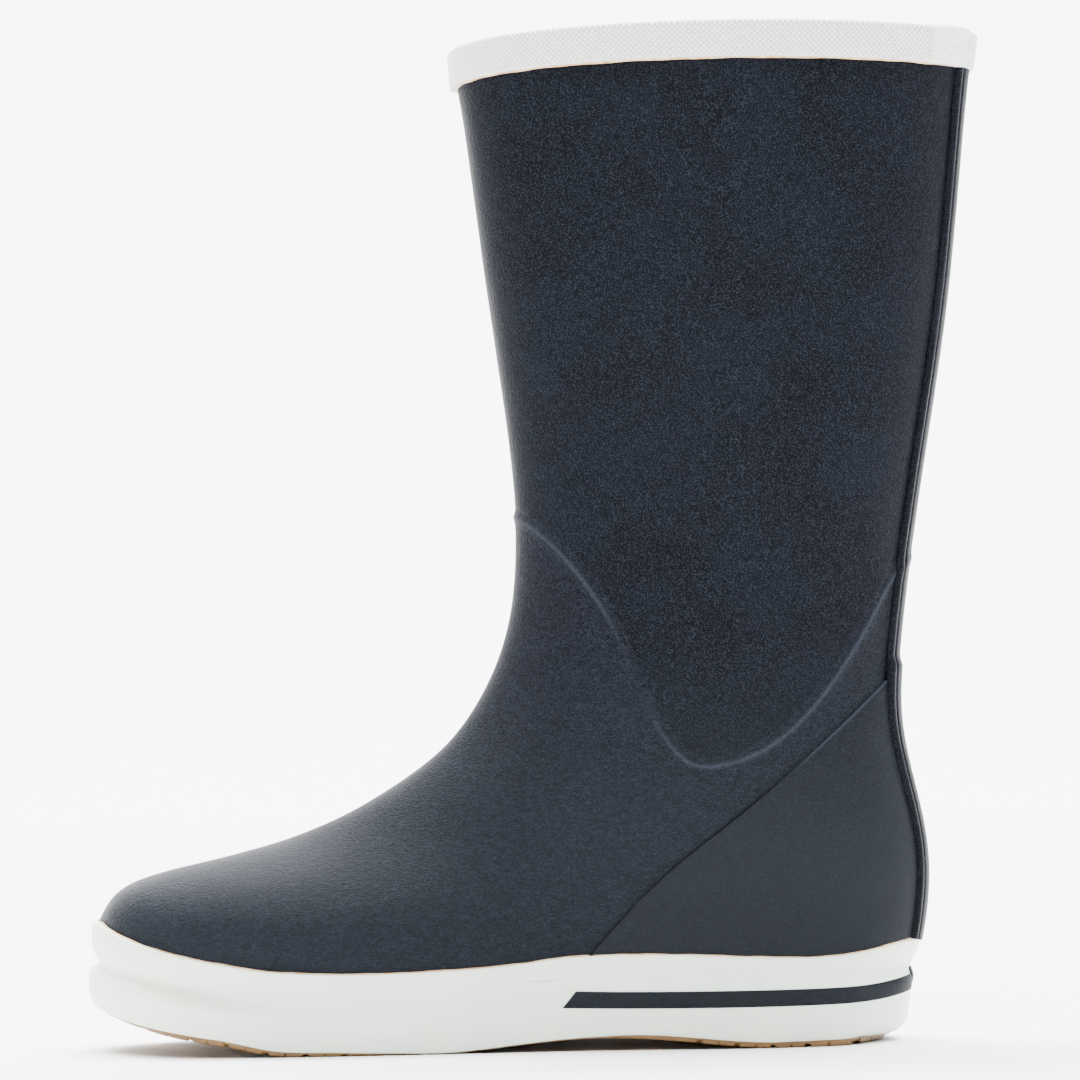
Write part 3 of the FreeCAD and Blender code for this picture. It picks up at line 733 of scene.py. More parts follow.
def spaced(angle, start, stop, first, rows, both_ends=False):
    """Marks down each column: close together over the first millimetres, then even."""
    u = spread(start, stop, np.linspace(0.0, 1.0, 400))
    length = run_length(np.moveaxis(form_point(u, angle[:, None]), 1, 0)).T
    out = []
    for k in range(len(angle)):
        total = length[k, -1]
        near = np.minimum(first, total * 0.4 * np.linspace(0.0, 1.0, len(first)))
        far = total - near[::-1] if both_ends else np.array([total])
        rest = near[-1] + (far[0] - near[-1]) * np.linspace(0.0, 1.0, rows + 1)[1:-1]
        out.append(np.interp(np.concatenate([near, rest, far]), length[k], u[k]))
    return np.array(out)


def two_sided(outer, inner):
    """Loops that run down the outer face and back up the inner one."""
    return np.concatenate([outer, inner[:, ::-1]], axis=1)


def on_outer(loops, painted_light):
    """Painted highlight and shadow for the points of two-sided loops, from the values at the first
    ones of each loop.
    """
    pale = np.zeros(loops.shape[:2])
    pale[:, :painted_light.shape[1]] = painted_light
    return pale


def leg_rubber():
    """Outer rubber of the leg; its lower margin lies under the vamp."""
    angle = SHEET_ANGLES
    start = on_collar(angle, -3.5)
    stop = on_ankle(angle, -3.0)
    u = spread(start, stop, np.linspace(0.0, 1.0, 210))
    outer = surface(u, angle[:, None], 0.0)
    inner = surface(u[:, ::9], angle[:, None], RUBBER_INSIDE)
    solid("leg_rubber_sheet", two_sided(outer, inner), True, navy_leg, ["leg_rubber"])


def vamp_rubber():
    """Rubber of the foot, feathered onto the leg along the ankle line.

    It runs on under the counter, so it stands for the heel quarter too.
    """
    angle = SHEET_ANGLES
    start = on_ankle(angle, 8.0)
    stop = u_on(angle, foxing_edge, -9.0, 3.0, float(TOE_STATION))
    u = spaced(angle, start, stop, np.linspace(0.0, 16.0, 44), 170)
    points = form_point(u, angle[:, None])
    gap = ridge_gap(points)
    tip = 0.5 * smooth_step(-points[..., 0], 115.0, 150.0)
    outer = surface(u, angle[:, None], ply_lift(points, gap) - tip)
    inner = surface(u[:, ::9], angle[:, None], RUBBER_INSIDE)
    # painted highlight along the crest over the ankle ply's edge, faded on its front slope
    painted_light = 0.24 * bell(gap, -0.1, 0.75) * (1.0 - ridge_fade(points)) ** 2
    painted_light = painted_light * smooth_step(points[..., 0], -12.0, 2.0)
    short = stop > TOE_STATION - 0.01
    drop = np.where(short, 7.0, 0.0)[:, None] * np.array([0.25, 0.5, 1.0])
    skirt = outer[:, -1:] + drop[..., None] * np.array([0.0, 0.0, -1.0])
    outer = np.concatenate([outer, skirt], axis=1)
    loops = two_sided(outer, inner)
    solid("vamp_rubber_sheet", loops, True, navy_vamp,
          ["vamp_rubber", "heel_quarter"], painted_light=on_outer(loops, painted_light))


def counter_span(angle):
    """Stretch of each column that the counter covers, above the hidden part of the foxing."""
    trial = np.linspace(3.0, 16.0, 2600)
    p = form_point(trial[:, None], angle[None, :])
    x, z = p[..., 0], p[..., 2]
    depth = np.minimum(counter_edge(x) - z, z - foxing_edge(x) + 5.0)
    inside = depth > 0.0
    column = np.arange(len(angle))
    first = inside.argmax(axis=0)
    after = np.arange(len(trial))[:, None] >= first
    last = (~inside & after).argmax(axis=0)
    start = trial[first] - crossing_share(depth, first, column) * (trial[1] - trial[0])
    stop = trial[last] - crossing_share(depth, last, column) * (trial[1] - trial[0])
    return start, stop, inside.any(axis=0)


def crossing_share(depth, row, column):
    """How far back before a row the depth passed zero, as a share of a step."""
    here = depth[row, column]
    before = depth[np.maximum(row - 1, 0), column]
    return np.clip(here / np.where(here == before, 1.0, here - before), 0.0, 1.0)


def heel_counter():
    """Overlay round the heel with a crisp slanting edge."""
    trial = np.linspace(0.25 * math.pi, 1.75 * math.pi, 3000)
    reached = counter_span(trial)[2]
    angle = np.linspace(trial[reached][0], trial[reached][-1], 420)
    start, stop, reached = counter_span(angle)
    edge = np.linspace(0.25 * math.pi, 1.75 * math.pi, 6000)
    begin, end, found = counter_span(edge)
    edge = edge[found]
    rim = np.concatenate([form_point(begin[found], edge), form_point(end[found], edge)])
    on_edge = np.abs(rim[:, 2] - counter_edge(rim[:, 0])) < 0.4
    near = np.array([0.0, 0.0, 0.03, 0.1, 0.25, 0.5, 0.9, 1.5, 2.5, 4.0, 6.0, 8.5])
    u = spaced(angle, start, stop, near, 56, True)
    points = form_point(u, angle[:, None])
    gap = nearest_gap(points, rim[on_edge])
    hidden = smooth_step(points[..., 2] - foxing_top(points[..., 0]), -3.2, -1.2)
    face = 0.1 + (eased(COUNTER_PROFILE, gap, 0.05) - 0.1) * hidden
    face[:, [0, -1]] = 0.1
    outer = surface(u, angle[:, None], face)
    inner = surface(u[:, ::6], angle[:, None], 0.1)
    loops = two_sided(outer, inner)
    # painted highlight along the upper part of the counter's edge, painted shadow along its lower
    # part
    high = smooth_step(points[..., 2], 75.0, 105.0)
    painted_light = 0.3 * bell(gap, 0.2, 0.4) * high - 0.9 * bell(gap, 0.0, 0.35) * (1.0 - high)
    solid("heel_counter_overlay", loops, False, navy_overlay,
          ["heel_counter"], painted_light=on_outer(loops, painted_light))


def across_back(u, y):
    """Angles at which cross-sections u reach the sideways places y at the back."""
    angle = np.linspace(math.pi - 0.9, math.pi + 0.9, 500)
    out = []
    for value in u:
        width = form_point(value, angle)[:, 1]
        out.append(np.interp(-y, -width, angle))
    return np.array(out)


def back_strip():
    """Strip over the back seam, with a bead along each edge; it steps over what lies under it."""
    top = on_collar(math.pi, -13.0)[0]
    bottom = u_on(math.pi, foxing_edge, 0.5, 3.0, 14.0)[0]
    u = np.linspace(top, bottom, 330)
    near = np.array([13.0, 12.95, 12.8, 12.6, 12.3, 11.9, 11.4, 10.9, 10.5, 10.2, 9.95, 9.8, 9.6,
                     9.4, 9.1, 8.0, 5.0, 2.0])
    y = np.concatenate([-near, near[::-1]])
    angle = across_back(u, y)
    points = form_point(u[:, None], angle)
    step = 0.75 * COUNTER_FACE * smooth_step(-points[..., 2], -132.5, -127.0)
    base = 0.6 * np.maximum(ply_lift(points, ridge_gap(points)), 0.0) + step
    outer = surface(u[:, None], angle, base + eased(STRIP_PROFILE, np.abs(y), 0.08))
    inner = surface(u[:, None], angle, np.minimum(base, 0.3))
    solid("back_strip_beaded", two_sided(outer, inner), False, navy_strip,
          ["back_strip"])


def collar_rise(angle):
    """The hand-trimmed collar line is arched, more so towards the front."""
    side = np.sin(angle)
    return COLLAR_ARCH * side ** 2 + COLLAR_LEAN * np.abs(side) * np.cos(angle)


def collar_loops(angle, profile):
    """Loops round the collar: profile holds drops below the top line and offsets."""
    ahead = np.maximum(np.cos(angle), 0.0) ** 2
    loops = []
    for drop, offset in profile:
        low = TOP_LOWERED * (1.0 - drop / BINDING_HEIGHT)
        u = on_collar(angle, collar_rise(angle) - drop - low)
        lean = ahead * (0.6 + 1.5 * (1.0 - drop / BINDING_HEIGHT)) * (np.asarray(offset) > 0.5)
        loops.append(surface(u, angle, offset - lean))
    return np.stack(loops, axis=1)


def fold(outer, inner, height, crown):
    """Profile over the collar: up the outer face, over the top and down the inner face."""
    profile = [(height, 0.2), (height, outer - 0.9), (height - 0.15, outer - 0.35)]
    profile.append((height - 0.55, outer - 0.05))
    steps = np.linspace(height - 1.2, crown + 0.4, 9)
    profile += [(drop, outer) for drop in steps]
    middle = (outer + inner) / 2.0
    half = (outer - inner) / 2.0
    for turn in np.linspace(0.0, math.pi, 19):
        side = math.copysign(abs(math.cos(turn)) ** 0.62, math.cos(turn))
        profile.append((crown * (1.0 - math.sin(turn) ** 0.62), middle + half * side))
    profile += [(drop, inner) for drop in steps[::-1]]
    profile += [(height - 0.4, inner + 0.1), (height, inner + 0.7), (height, -3.0)]
    profile += [(height - 4.0, -1.6), (height - 4.0, 0.0)]
    return profile


def collar_binding():
    """White tape folded over the top edge, and the end of the tape lapped over its beginning."""
    angle = turns(420)
    loops = collar_loops(angle, fold(3.3, -4.4, BINDING_HEIGHT, 2.6))
    solid("collar_binding_tape", loops, True, weave, ["collar_binding"],
          tape_places(loops, True))
    trial = np.linspace(math.pi, 1.9 * math.pi, 2000)
    rim = form_point(on_collar(trial, -8.0), trial)[:, 0]
    first = trial[np.argmax(rim < LAP_BACK)]
    last = trial[np.argmax(rim < LAP_FRONT)]
    angle = np.concatenate([[first - 0.012, first - 0.005], np.linspace(first, last, 60)])
    full = smooth_step(np.interp(angle, trial, rim), LAP_FRONT, LAP_FRONT + 8.0)
    full[:2] -= (0.7, 0.2)
    profile = fold(3.1 + 1.2 * full, -4.2 - 0.5 * full, BINDING_HEIGHT + 0.3 * full, 2.6)
    profile = [(drop - LAP_RISE * full * (drop < 4.0), out) for drop, out in profile]
    loops = collar_loops(angle, profile)
    solid("collar_binding_lap", loops, False, ribbed, [],
          tape_places(loops, False))


def tape_places(loops, closed):
    """Texture places in millimetres for the binding: run round, run down."""
    if closed:
        loops = np.concatenate([loops, loops[:1]], axis=0)
    loops = np.concatenate([loops, loops[:, :1]], axis=1)
    around = run_length(loops[:, 8])
    down = run_length(np.moveaxis(loops, 1, 0)).T
    return np.stack([np.broadcast_to(around[:, None], down.shape), down], axis=-1)


def bead(name, centre, normal, radius, look):
    """Thin uneven bead of cement along a closed line."""
    along = unit(np.roll(centre, -1, axis=0) - np.roll(centre, 1, axis=0))
    normal = unit(normal - along * np.sum(normal * along, axis=1, keepdims=True))
    side = np.cross(along, normal)
    turn = turns(8)
    mark = np.arange(len(centre))
    uneven = 1.0 + 0.35 * np.sin(mark * 0.37) * np.sin(mark * 0.113 + 1.0)
    reach = radius * uneven[:, None, None]
    loops = centre[:, None] + reach * (
        np.cos(turn)[None, :, None] * normal[:, None] + np.sin(turn)[None, :, None] * side[:, None])
    return solid(name, loops, True, look, [])


def collar_cement():
    """Cement that shows under the lower edge of the binding."""
    angle = turns(420)
    rise = collar_rise(angle) - BINDING_HEIGHT
    u = on_collar(angle, rise)
    bead("collar_cement_line", surface(u, angle, 0.1), form_normal(u, angle), 0.42, cement)


def lining():
    """Knitted leg lining and the tape over its seam."""
    angle = turns(160)
    start = on_collar(angle, -4.0)
    stop = on_ankle(angle, 0.0)
    u = spread(start, stop, np.linspace(0.0, 1.0, 120))
    outer = surface(u, angle[:, None], LINING_OUTSIDE)
    inner = surface(u, angle[:, None], LINING_INSIDE)
    solid("leg_lining_knit", two_sided(outer, inner), True, knit, ["leg_lining"])
    top = on_collar(math.pi, -13.0)[0]
    bottom = on_ankle(math.pi, 8.0)[0]
    u = np.linspace(top, bottom, 120)
    y = np.linspace(-TAPE_HALF, TAPE_HALF, 17)
    angle = across_back(u, y)
    outer = surface(u[:, None], angle, -3.1)
    edge = 0.7 * np.minimum(1.0, (TAPE_HALF - np.abs(y)) / 1.0) ** 0.5
    inner = surface(u[:, None], angle, -3.15 - edge)
    solid("lining_tape_strip", two_sided(outer, inner), False, tape_look,
          ["lining_seam_tape"])


# ---- bottom --------------------------------------------------------------------------------

OUTLINE_MARKS = 720
REACH = 30.0               # how far outside the outline the rays start
STRIPE_JOINT = -8.0        # y of the joint at the back
STRIPE_FRONT = 9.5         # x of the front end
STRIPE_HALF = 2.8
STRIPE_SLANT = 8.0
GROOVE_PITCH = 13.0
GROOVE_WALL = 0.45
GROOVE_FLOOR = 1.5
GROOVE_DEPTH = 2.0
SPINE_FRONT = -128.0
SPINE_BACK = 98.0


def even_outline():
    """The plan outline at even steps, with outward normals."""
    dense = spline(OUTLINE, True)(np.linspace(0.0, len(OUTLINE), 6000, endpoint=False))
    closed = np.concatenate([dense, dense[:1]])
    length = run_length(closed)
    mark = np.arange(OUTLINE_MARKS) * length[-1] / OUTLINE_MARKS
    points = np.stack([np.interp(mark, length, closed[:, k]) for k in range(2)], axis=1)
    along = unit(np.roll(points, -1, axis=0) - np.roll(points, 1, axis=0))
    return points, np.stack([-along[:, 1], along[:, 0]], axis=1) * -outline_turn(points)


def outline_turn(points):
    """1 if the outline runs anticlockwise seen from above, else -1."""
    x, y = points.T
    return math.copysign(1.0, float(np.sum(x * np.roll(y, -1) - y * np.roll(x, -1))))


PLAN, PLAN_OUT = even_outline()
PLAN_X = PLAN[:, 0]


def placed(inset, z):
    """Points at an inset from the outline and at a height."""
    inset = np.broadcast_to(np.asarray(inset, float), PLAN_X.shape)
    z = np.broadcast_to(np.asarray(z, float), PLAN_X.shape)
    level = PLAN - PLAN_OUT * inset[:, None]
    return np.concatenate([level, z[:, None]], axis=1)


def form_tree():
    """The form as a mesh that rays can hit."""
    angle = turns(240)
    u = np.linspace(4.0, float(TOE_STATION), 420)
    grid = form_point(u[:, None], angle[None, :])
    centre = grid[-1].mean(axis=0)
    points = np.concatenate([grid.reshape(-1, 3), centre[None]])
    count = len(angle)
    faces = ring_faces(len(u), count, False)
    last = (len(u) - 1) * count
    faces += [(last + k, last + (k + 1) % count, len(points) - 1) for k in range(count)]
    return BVHTree.FromPolygons(points.tolist(), faces)


FORM_TREE = form_tree()


def ray_inset(tree, z):
    """How far inside the outline a mesh lies, at a height for each mark."""
    out = []
    for point, normal, height in zip(PLAN, PLAN_OUT, z):
        start = Vector((point[0] + normal[0] * REACH, point[1] + normal[1] * REACH, height))
        hit = tree.ray_cast(start, Vector((-normal[0], -normal[1], 0.0)))
        out.append(hit[3] - REACH if hit[0] is not None else np.nan)
    out = np.array(out)
    good = ~np.isnan(out)
    mark = np.arange(len(out))
    return np.interp(mark, mark[good], out[good], period=len(out))


def form_inset(z):
    """How far inside the outline the form lies, smoothed along the outline."""
    out = ray_inset(FORM_TREE, np.broadcast_to(np.asarray(z, float), PLAN_X.shape))
    for _ in range(3):
        out = 0.25 * np.roll(out, 1) + 0.5 * out + 0.25 * np.roll(out, -1)
    return out


def wall_inset(z):
    """The form's inset, carried straight down below its widest height."""
    return form_inset(np.maximum(z, 22.0))


HEEL_SHARE = smooth_step(PLAN_X, 62.0, 124.0)
HEEL_REAR = smooth_step(PLAN_X, 98.0, 124.0)
TOE_SHARE = smooth_step(-PLAN_X, 112.0, 150.0)
TIP_SHARE = smooth_step(-PLAN_X, 143.0, 155.0)


def foxing_face(z):
    """Inset of the upper white band's face: drawn in at the heel, where it meets the bumper."""
    back = smooth_step(PLAN_X, -20.0, 60.0)
    toe = 0.1 * smooth_step(-PLAN_X, 120.0, 150.0)
    heel = HEEL_REAR * (0.7 + 1.0 * (1.0 - smooth_step(z, 25.0, 33.0)))
    return wall_inset(z) - 2.3 - 1.0 * back + toe + heel


def bumper_inset(z):
    """Inset of the bumper's face: upright at the sides, drawn in below at heel and toe."""
    down = np.maximum(22.0 - z, 0.0) ** 1.5
    side = 0.012 * np.maximum(16.0 - z, 0.0) ** 1.5
    heel = 0.03 * down + 1.3 * HEEL_REAR
    toe = 1.3 + 0.1 * down
    bow = 0.12 * np.sin(PLAN_X / 31.0) * np.sin(PLAN_X / 47.0 + 1.0)
    return side + HEEL_SHARE * (heel - side) + TOE_SHARE * (toe - side) + bow


def upper_foxing():
    """Upper white band: flat face, rounded top edge, drawn in where it goes under the bumper."""
    top = foxing_top(PLAN_X)
    seam = bumper_top()
    bottom = seam - 1.8
    radius = 1.0
    loops = []
    shares = np.concatenate([np.linspace(0.0, 0.35, 10), np.linspace(0.45, 1.0, 6)])
    for share in shares:
        z = bottom + (top - radius - bottom) * share
        dip = 0.25 * (1.0 - smooth_step(z - seam, -1.6, -0.2))
        loops.append(placed(foxing_face(z) + dip, z))
    for turn in np.linspace(0.0, 0.5 * math.pi, 7)[1:]:
        z = top - radius + radius * math.sin(turn)
        loops.append(placed(foxing_face(z) + radius * (1.0 - math.cos(turn)), z))
    loops.append(placed(form_inset(top - 0.1) + 0.4, top - 0.15))
    loops.append(placed(form_inset(bottom) + 0.2, bottom))
    solid("upper_foxing_band", np.stack(loops, axis=1), True, white_upper,
          ["upper_foxing"])
    under = 0.4 + 1.25 * smooth_step(PLAN_X, 15.0, 21.0)
    line_points = placed(form_inset(top) - under, top + 0.05)
    out = np.concatenate([PLAN_OUT, np.zeros((OUTLINE_MARKS, 1))], axis=1)
    bead("foxing_cement_line", line_points, out, 0.3, cement)


def bumper_top():
    """Height of the bumper's upper edge at each mark."""
    return bumper_edge(PLAN_X) + 1.3 * TOE_SHARE


def bumper_face(z):
    """Inset of the bumper's outside: its upper part runs out smoothly onto the foxing."""
    top = bumper_top()
    shoulder = 6.0 - 1.0 * HEEL_SHARE - 1.5 * TIP_SHARE
    onto = smooth_step(z, top - shoulder, top - 0.2)
    foxing = foxing_face(z) - 0.04
    groove = (0.2 * HEEL_SHARE + 0.3 * TIP_SHARE) * bell(z, top, 1.3)
    brow = 0.8 * smooth_step(PLAN_X, 0.0, 40.0) * bell(z, 21.0, 1.6)
    brow = brow * (1.0 - smooth_step(PLAN_X, 104.0, 122.0))
    ledge = 0.7 * (1.0 - HEEL_SHARE) * (1.0 - TIP_SHARE) * bell(z, top - 3.0, 2.0)
    return bumper_inset(z) * (1.0 - onto) + foxing * onto + groove - brow - ledge


def bumper_band():
    """Lower white band: upright face, soft shoulder, rounded lower edge."""
    top = bumper_top()
    bottom = white_bottom(PLAN_X)
    radius = 1.0 + 0.8 * HEEL_SHARE + 4.6 * HEEL_REAR + 1.6 * TOE_SHARE
    loops = [placed(bumper_face(bottom) + 8.0, bottom + 0.3)]
    loops.append(placed(bumper_face(bottom) + radius + 0.8, bottom))
    for turn in np.linspace(0.0, 0.5 * math.pi, 7):
        z = bottom + radius * (1.0 - math.cos(turn))
        loops.append(placed(bumper_face(z) + radius * (1.0 - math.sin(turn)), z))
    for share in np.linspace(0.0, 1.0, 34)[1:]:
        z = bottom + radius + (top - bottom - radius) * share
        loops.append(placed(bumper_face(z), z))
    loops.append(placed(bumper_face(top) + 0.1, top + 0.15))
    loops.append(placed(bumper_face(top) + 1.2, top + 0.1))
    loops.append(placed(bumper_face(top) + 1.5, top - 2.0))
    solid("bumper_band_moulded", np.stack(loops, axis=1), True, white_bumper,
          ["bumper_band"])


def stripe_middle(side):
    """Height of the stripe's middle line at each mark; the outer half rises at the back."""
    middle = line(STRIPE_LINE)(PLAN_X)
    return middle + (2.2 * smooth_step(PLAN_X, 90.0, 125.0) if side > 0 else 0.0)


def at_mark(values, mark):
    """Values at fractional marks along the closed outline."""
    grid = np.arange(OUTLINE_MARKS)
    return np.interp(mark, grid, values, period=OUTLINE_MARKS)


def heel_stripe(name, node, side):
    """Half of the navy stripe in the bumper, from its slanting front end to the back joint."""
    y = PLAN[:, 1]
    joint = int(np.argmin(np.abs(y - STRIPE_JOINT) + 1000.0 * (PLAN_X < 100.0)))
    front = int(np.argmin(np.abs(PLAN_X - STRIPE_FRONT) + 1000.0 * (y * side < 0.0)))
    step = 1 if (front - joint) % OUTLINE_MARKS < OUTLINE_MARKS / 2 else -1
    span = (front - joint) * step % OUTLINE_MARKS
    run = np.concatenate([[0.22, 0.25, 0.5, 1.0], np.arange(2.0, span - STRIPE_SLANT, 1.0),
                          np.linspace(span - STRIPE_SLANT, span, 14)])
    middle = stripe_middle(side)
    rising = [(-STRIPE_HALF, -1.6), (-STRIPE_HALF, 0.1), (-2.6, 0.4), (-2.2, 0.58), (-1.3, 0.72)]
    profile = rising + [(0.0, 0.78)] + [(-rise, proud) for rise, proud in rising[::-1]]
    loops = []
    for rise, proud in profile:
        z = middle + rise
        inset = bumper_face(z) - proud
        slant = 2.5 * rise / STRIPE_HALF
        slant = slant * np.clip((run - span + STRIPE_SLANT) / STRIPE_SLANT, 0.0, 1.0)
        mark = (joint + step * (run - slant)) % OUTLINE_MARKS
        line_points = placed(inset, z)
        loops.append(np.stack([at_mark(line_points[:, k], mark) for k in range(3)], axis=1))
    loops = np.stack(loops, axis=1)
    solid(name, loops, False, navy_stripe, [node])


def midsole():
    """Midsole between the outsole's plate and the insole board."""
    rings = []
    for level, inset, z in ((6.5, 12.0, 6.5), (6.5, 2.6, 6.5), (9.0, 2.6, 9.0),
                            (11.8, 2.6, 11.8), (9.0, 12.0, 8.7)):
        face = bumper_inset(np.full(OUTLINE_MARKS, level))
        rings.append(placed(face + inset, z + floor_height(PLAN_X)))
    rings = np.array(rings)
    faces = ring_faces(len(rings), OUTLINE_MARKS, True)
    new_object("midsole_block", rings.reshape(-1, 3), faces, filler, "boot", ["midsole"])


def tread_marks(low, high):
    """Lengthways marks of the tread and the depth of the groove at each."""
    marks = []
    for start, stop in ((-146.0, -40.0), (52.0, 122.0)):
        for k in range(int((stop - start) / GROOVE_PITCH) + 1):
            x = start + k * GROOVE_PITCH
            wall = GROOVE_WALL
            floor = x + wall + GROOVE_FLOOR
            marks += [(x - 0.35, 0.0), (x, 0.12), (x + wall * 0.5, 1.0), (x + wall, 1.9),
                      (x + wall + 0.3, GROOVE_DEPTH), (floor - 0.3, GROOVE_DEPTH), (floor, 1.9),
                      (floor + wall * 0.5, 1.0), (floor + wall, 0.12), (floor + wall + 0.35, 0.0)]
            for share in (0.25, 0.42, 0.58, 0.75):
                marks.append((x + 2.4 + share * (GROOVE_PITCH - 2.4), 0.0))
            sipe = x + 2.4 + 0.5 * (GROOVE_PITCH - 2.4)
            marks += [(sipe - 0.45, 0.0), (sipe - 0.2, 0.9), (sipe + 0.2, 0.9), (sipe + 0.45, 0.0)]
    for x in np.arange(-38.0, 51.0, 2.0):
        marks.append((float(x), 0.0))
    steps = 0.5 * (1.0 - np.cos(np.linspace(0.0, math.pi, 60)))
    for x in low + (high - low) * steps:
        taken = np.min(np.abs(np.array([mark[0] for mark in marks]) - x))
        if taken > 0.5 and (x < -146.5 or x > 134.0 or -38.0 < x < 50.0):
            marks.append((float(x), 0.0))
    marks = sorted(mark for mark in marks if low < mark[0] < high)
    return [(low, 0.0)] + marks + [(high, 0.0)]


def outsole():
    """Gum outsole with zigzag lugs whose grooves run out through the edge."""
    z = white_bottom(PLAN_X)
    rim = placed(bumper_inset(z) + 0.9 + 4.6 * HEEL_REAR + 0.8 * TOE_SHARE, 0.0)[:, :2]
    ahead = int(np.argmin(rim[:, 0]))
    rear = int(np.argmax(rim[:, 0]))
    low = rim[ahead, 0]
    high = rim[rear, 0]
    order = np.roll(np.arange(OUTLINE_MARKS), -ahead)
    turn = (rear - ahead) % OUTLINE_MARKS
    one = rim[order[:turn + 1]]
    other = rim[np.concatenate([order[:1], order[:turn - 1:-1]])]
    marks = np.array(tread_marks(low, high))
    near = np.array([0.0, 0.3, 0.7, 1.2, 2.0, 3.2])
    across = np.linspace(4.2, 90.0, 88)
    share = np.concatenate([near / 94.2, across / 94.2, 1.0 - near[::-1] / 94.2])

    def sides(x):
        return np.interp(x, one[:, 0], one[:, 1]), np.interp(x, other[:, 0], other[:, 1])

    x = np.repeat(marks[:, :1], len(share), axis=1)
    left, right = sides(x)
    y = left + (right - left) * share
    swing = 2.0 * np.abs((y / 12.0) % 2.0 - 1.0) - 1.0
    calm = smooth_step(x, low + 1.0, low + 12.0) * smooth_step(-x, -high + 1.0, -high + 12.0)
    x = x + 3.0 * swing * calm
    x = np.clip(x, low, high)
    left, right = sides(x)
    y = left + (right - left) * share
    depth = np.repeat(marks[:, 1:], len(share), axis=1)
    edge = np.minimum(share, 1.0 - share) * np.abs(right - left)
    rounding = 0.55 * np.maximum(1.0 - edge / 0.9, 0.0) ** 2
    shallow = 0.5 * np.maximum(gum_showing(x), 0.0) + GROOVE_DEPTH * smooth_step(edge, 0.6, 3.5)
    depth = np.minimum(depth, shallow)
    under = gum_bottom(x) + depth + rounding
    upper = white_bottom(x) + 1.5
    loops = []
    for i in range(len(marks)):
        bottom = np.stack([x[i], y[i], under[i]], axis=1)
        top = np.stack([x[i, [-1, 0]], y[i, [-1, 0]], upper[i, [-1, 0]]], axis=1)
        loops.append(np.concatenate([bottom, top]))
    solid("gum_outsole_lugs", np.array(loops), False, gum, ["outsole"])


# ---- footbed -------------------------------------------------------------------------------


def node_tree(name):
    """A CAD node that rays can hit, in the boot's own axes in millimetres."""
    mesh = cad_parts[name].data
    mesh.calc_loop_triangles()
    points = [tuple(np.array(vertex.co) / MM - SHIFT) for vertex in mesh.vertices]
    return BVHTree.FromPolygons(points, [tuple(t.vertices) for t in mesh.loop_triangles])


def slab(name, node, low, high, rounding, look, quilt):
    """Flat piece in the shape of a CAD node's outline; its top can be dimpled."""
    tree = node_tree(node)
    base = floor_height(PLAN_X)
    edge_low = placed(ray_inset(tree, base + low + 0.15) + 0.02, base + low)
    edge_high = placed(ray_inset(tree, base + high - 0.15) + 0.02, base + high)
    spine_x = np.clip(PLAN_X, SPINE_FRONT, SPINE_BACK)
    spine_y = -2.5 * smooth_step(-spine_x, 20.0, 150.0)
    rings = []
    for share in (0.55, 0.85, 0.97, 1.0):
        rings.append(toward(edge_low, spine_x, spine_y, share, low))
    for turn in np.linspace(0.0, 0.5 * math.pi, 5):
        ring = edge_high.copy()
        ring[:, :2] -= PLAN_OUT * rounding * (1.0 - math.cos(turn))
        ring[:, 2] += rounding * (math.sin(turn) - 1.0)
        rings.append(ring)
    crown = rings[-1]
    for share in np.linspace(0.985, 0.03, 46):
        ring = toward(crown, spine_x, spine_y, share, high)
        ring[:, 2] -= quilt * dimples(ring) * smooth_step(1.0 - share, 0.05, 0.12)
        rings.append(ring)
    rings = np.array(rings)[:, ::2]
    faces = ring_faces(len(rings), rings.shape[1], True)
    return new_object(name, rings.reshape(-1, 3), faces, look, "footbed", [node])


def toward(ring, spine_x, spine_y, share, height):
    """A ring drawn in towards the spine, kept at a height above the floor line."""
    spine = np.stack([spine_x, spine_y], axis=1)
    level = spine + (ring[:, :2] - spine) * share
    z = floor_height(level[:, 0]) + height
    return np.concatenate([level, z[:, None]], axis=1)


def dimples(ring):
    """Rows of small round dimples."""
    return (0.5 + 0.5 * np.cos(TURN * ring[:, 0] / 7.0) * np.cos(TURN * ring[:, 1] / 7.0)) ** 3


# ---- everything ----------------------------------------------------------------------------

leg_rubber()
vamp_rubber()
heel_counter()
back_strip()
collar_binding()
collar_cement()
lining()
upper_foxing()
bumper_band()
heel_stripe("heel_stripe_near", "heel_stripe_inner", -1)
heel_stripe("heel_stripe_far", "heel_stripe_outer", 1)
midsole()
outsole()
foam = slab("footbed_foam_pad", "footbed_foam", 14.6, 18.4, 0.4, foam_look, 0.0)
slab("footbed_textile_top", "footbed_cover", 18.7, 19.6, 0.45, textile, 0.35)

HIDDEN = {
    "toe_puff": canvas, "ankle_reinforcement": canvas, "heel_stiffener": canvas,
    "foot_lining": foot_knit, "insole_board": board, "bottom_filler": filler,
    "arch_shank": steel,
}
for name, look in HIDDEN.items():
    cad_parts[name].data.materials.clear()
    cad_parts[name].data.materials.append(look)

# ---- studio --------------------------------------------------------------------------------

PAPER = (0.95, 0.95, 0.95, 1.0)
SWEEP_HALF = 12.0
SWEEP_BEND = 3.6
SWEEP_RADIUS = 2.4
SWEEP_HEIGHT = 10.5
EYE = (-0.0004, -1.5997, 0.115)
EYE_AIM = (0.0017, 0.0003, 0.1727)
EYE_LENS = 154.9
EYE_ROLL = -0.014
AIM = (0.0, 0.0, 0.16)
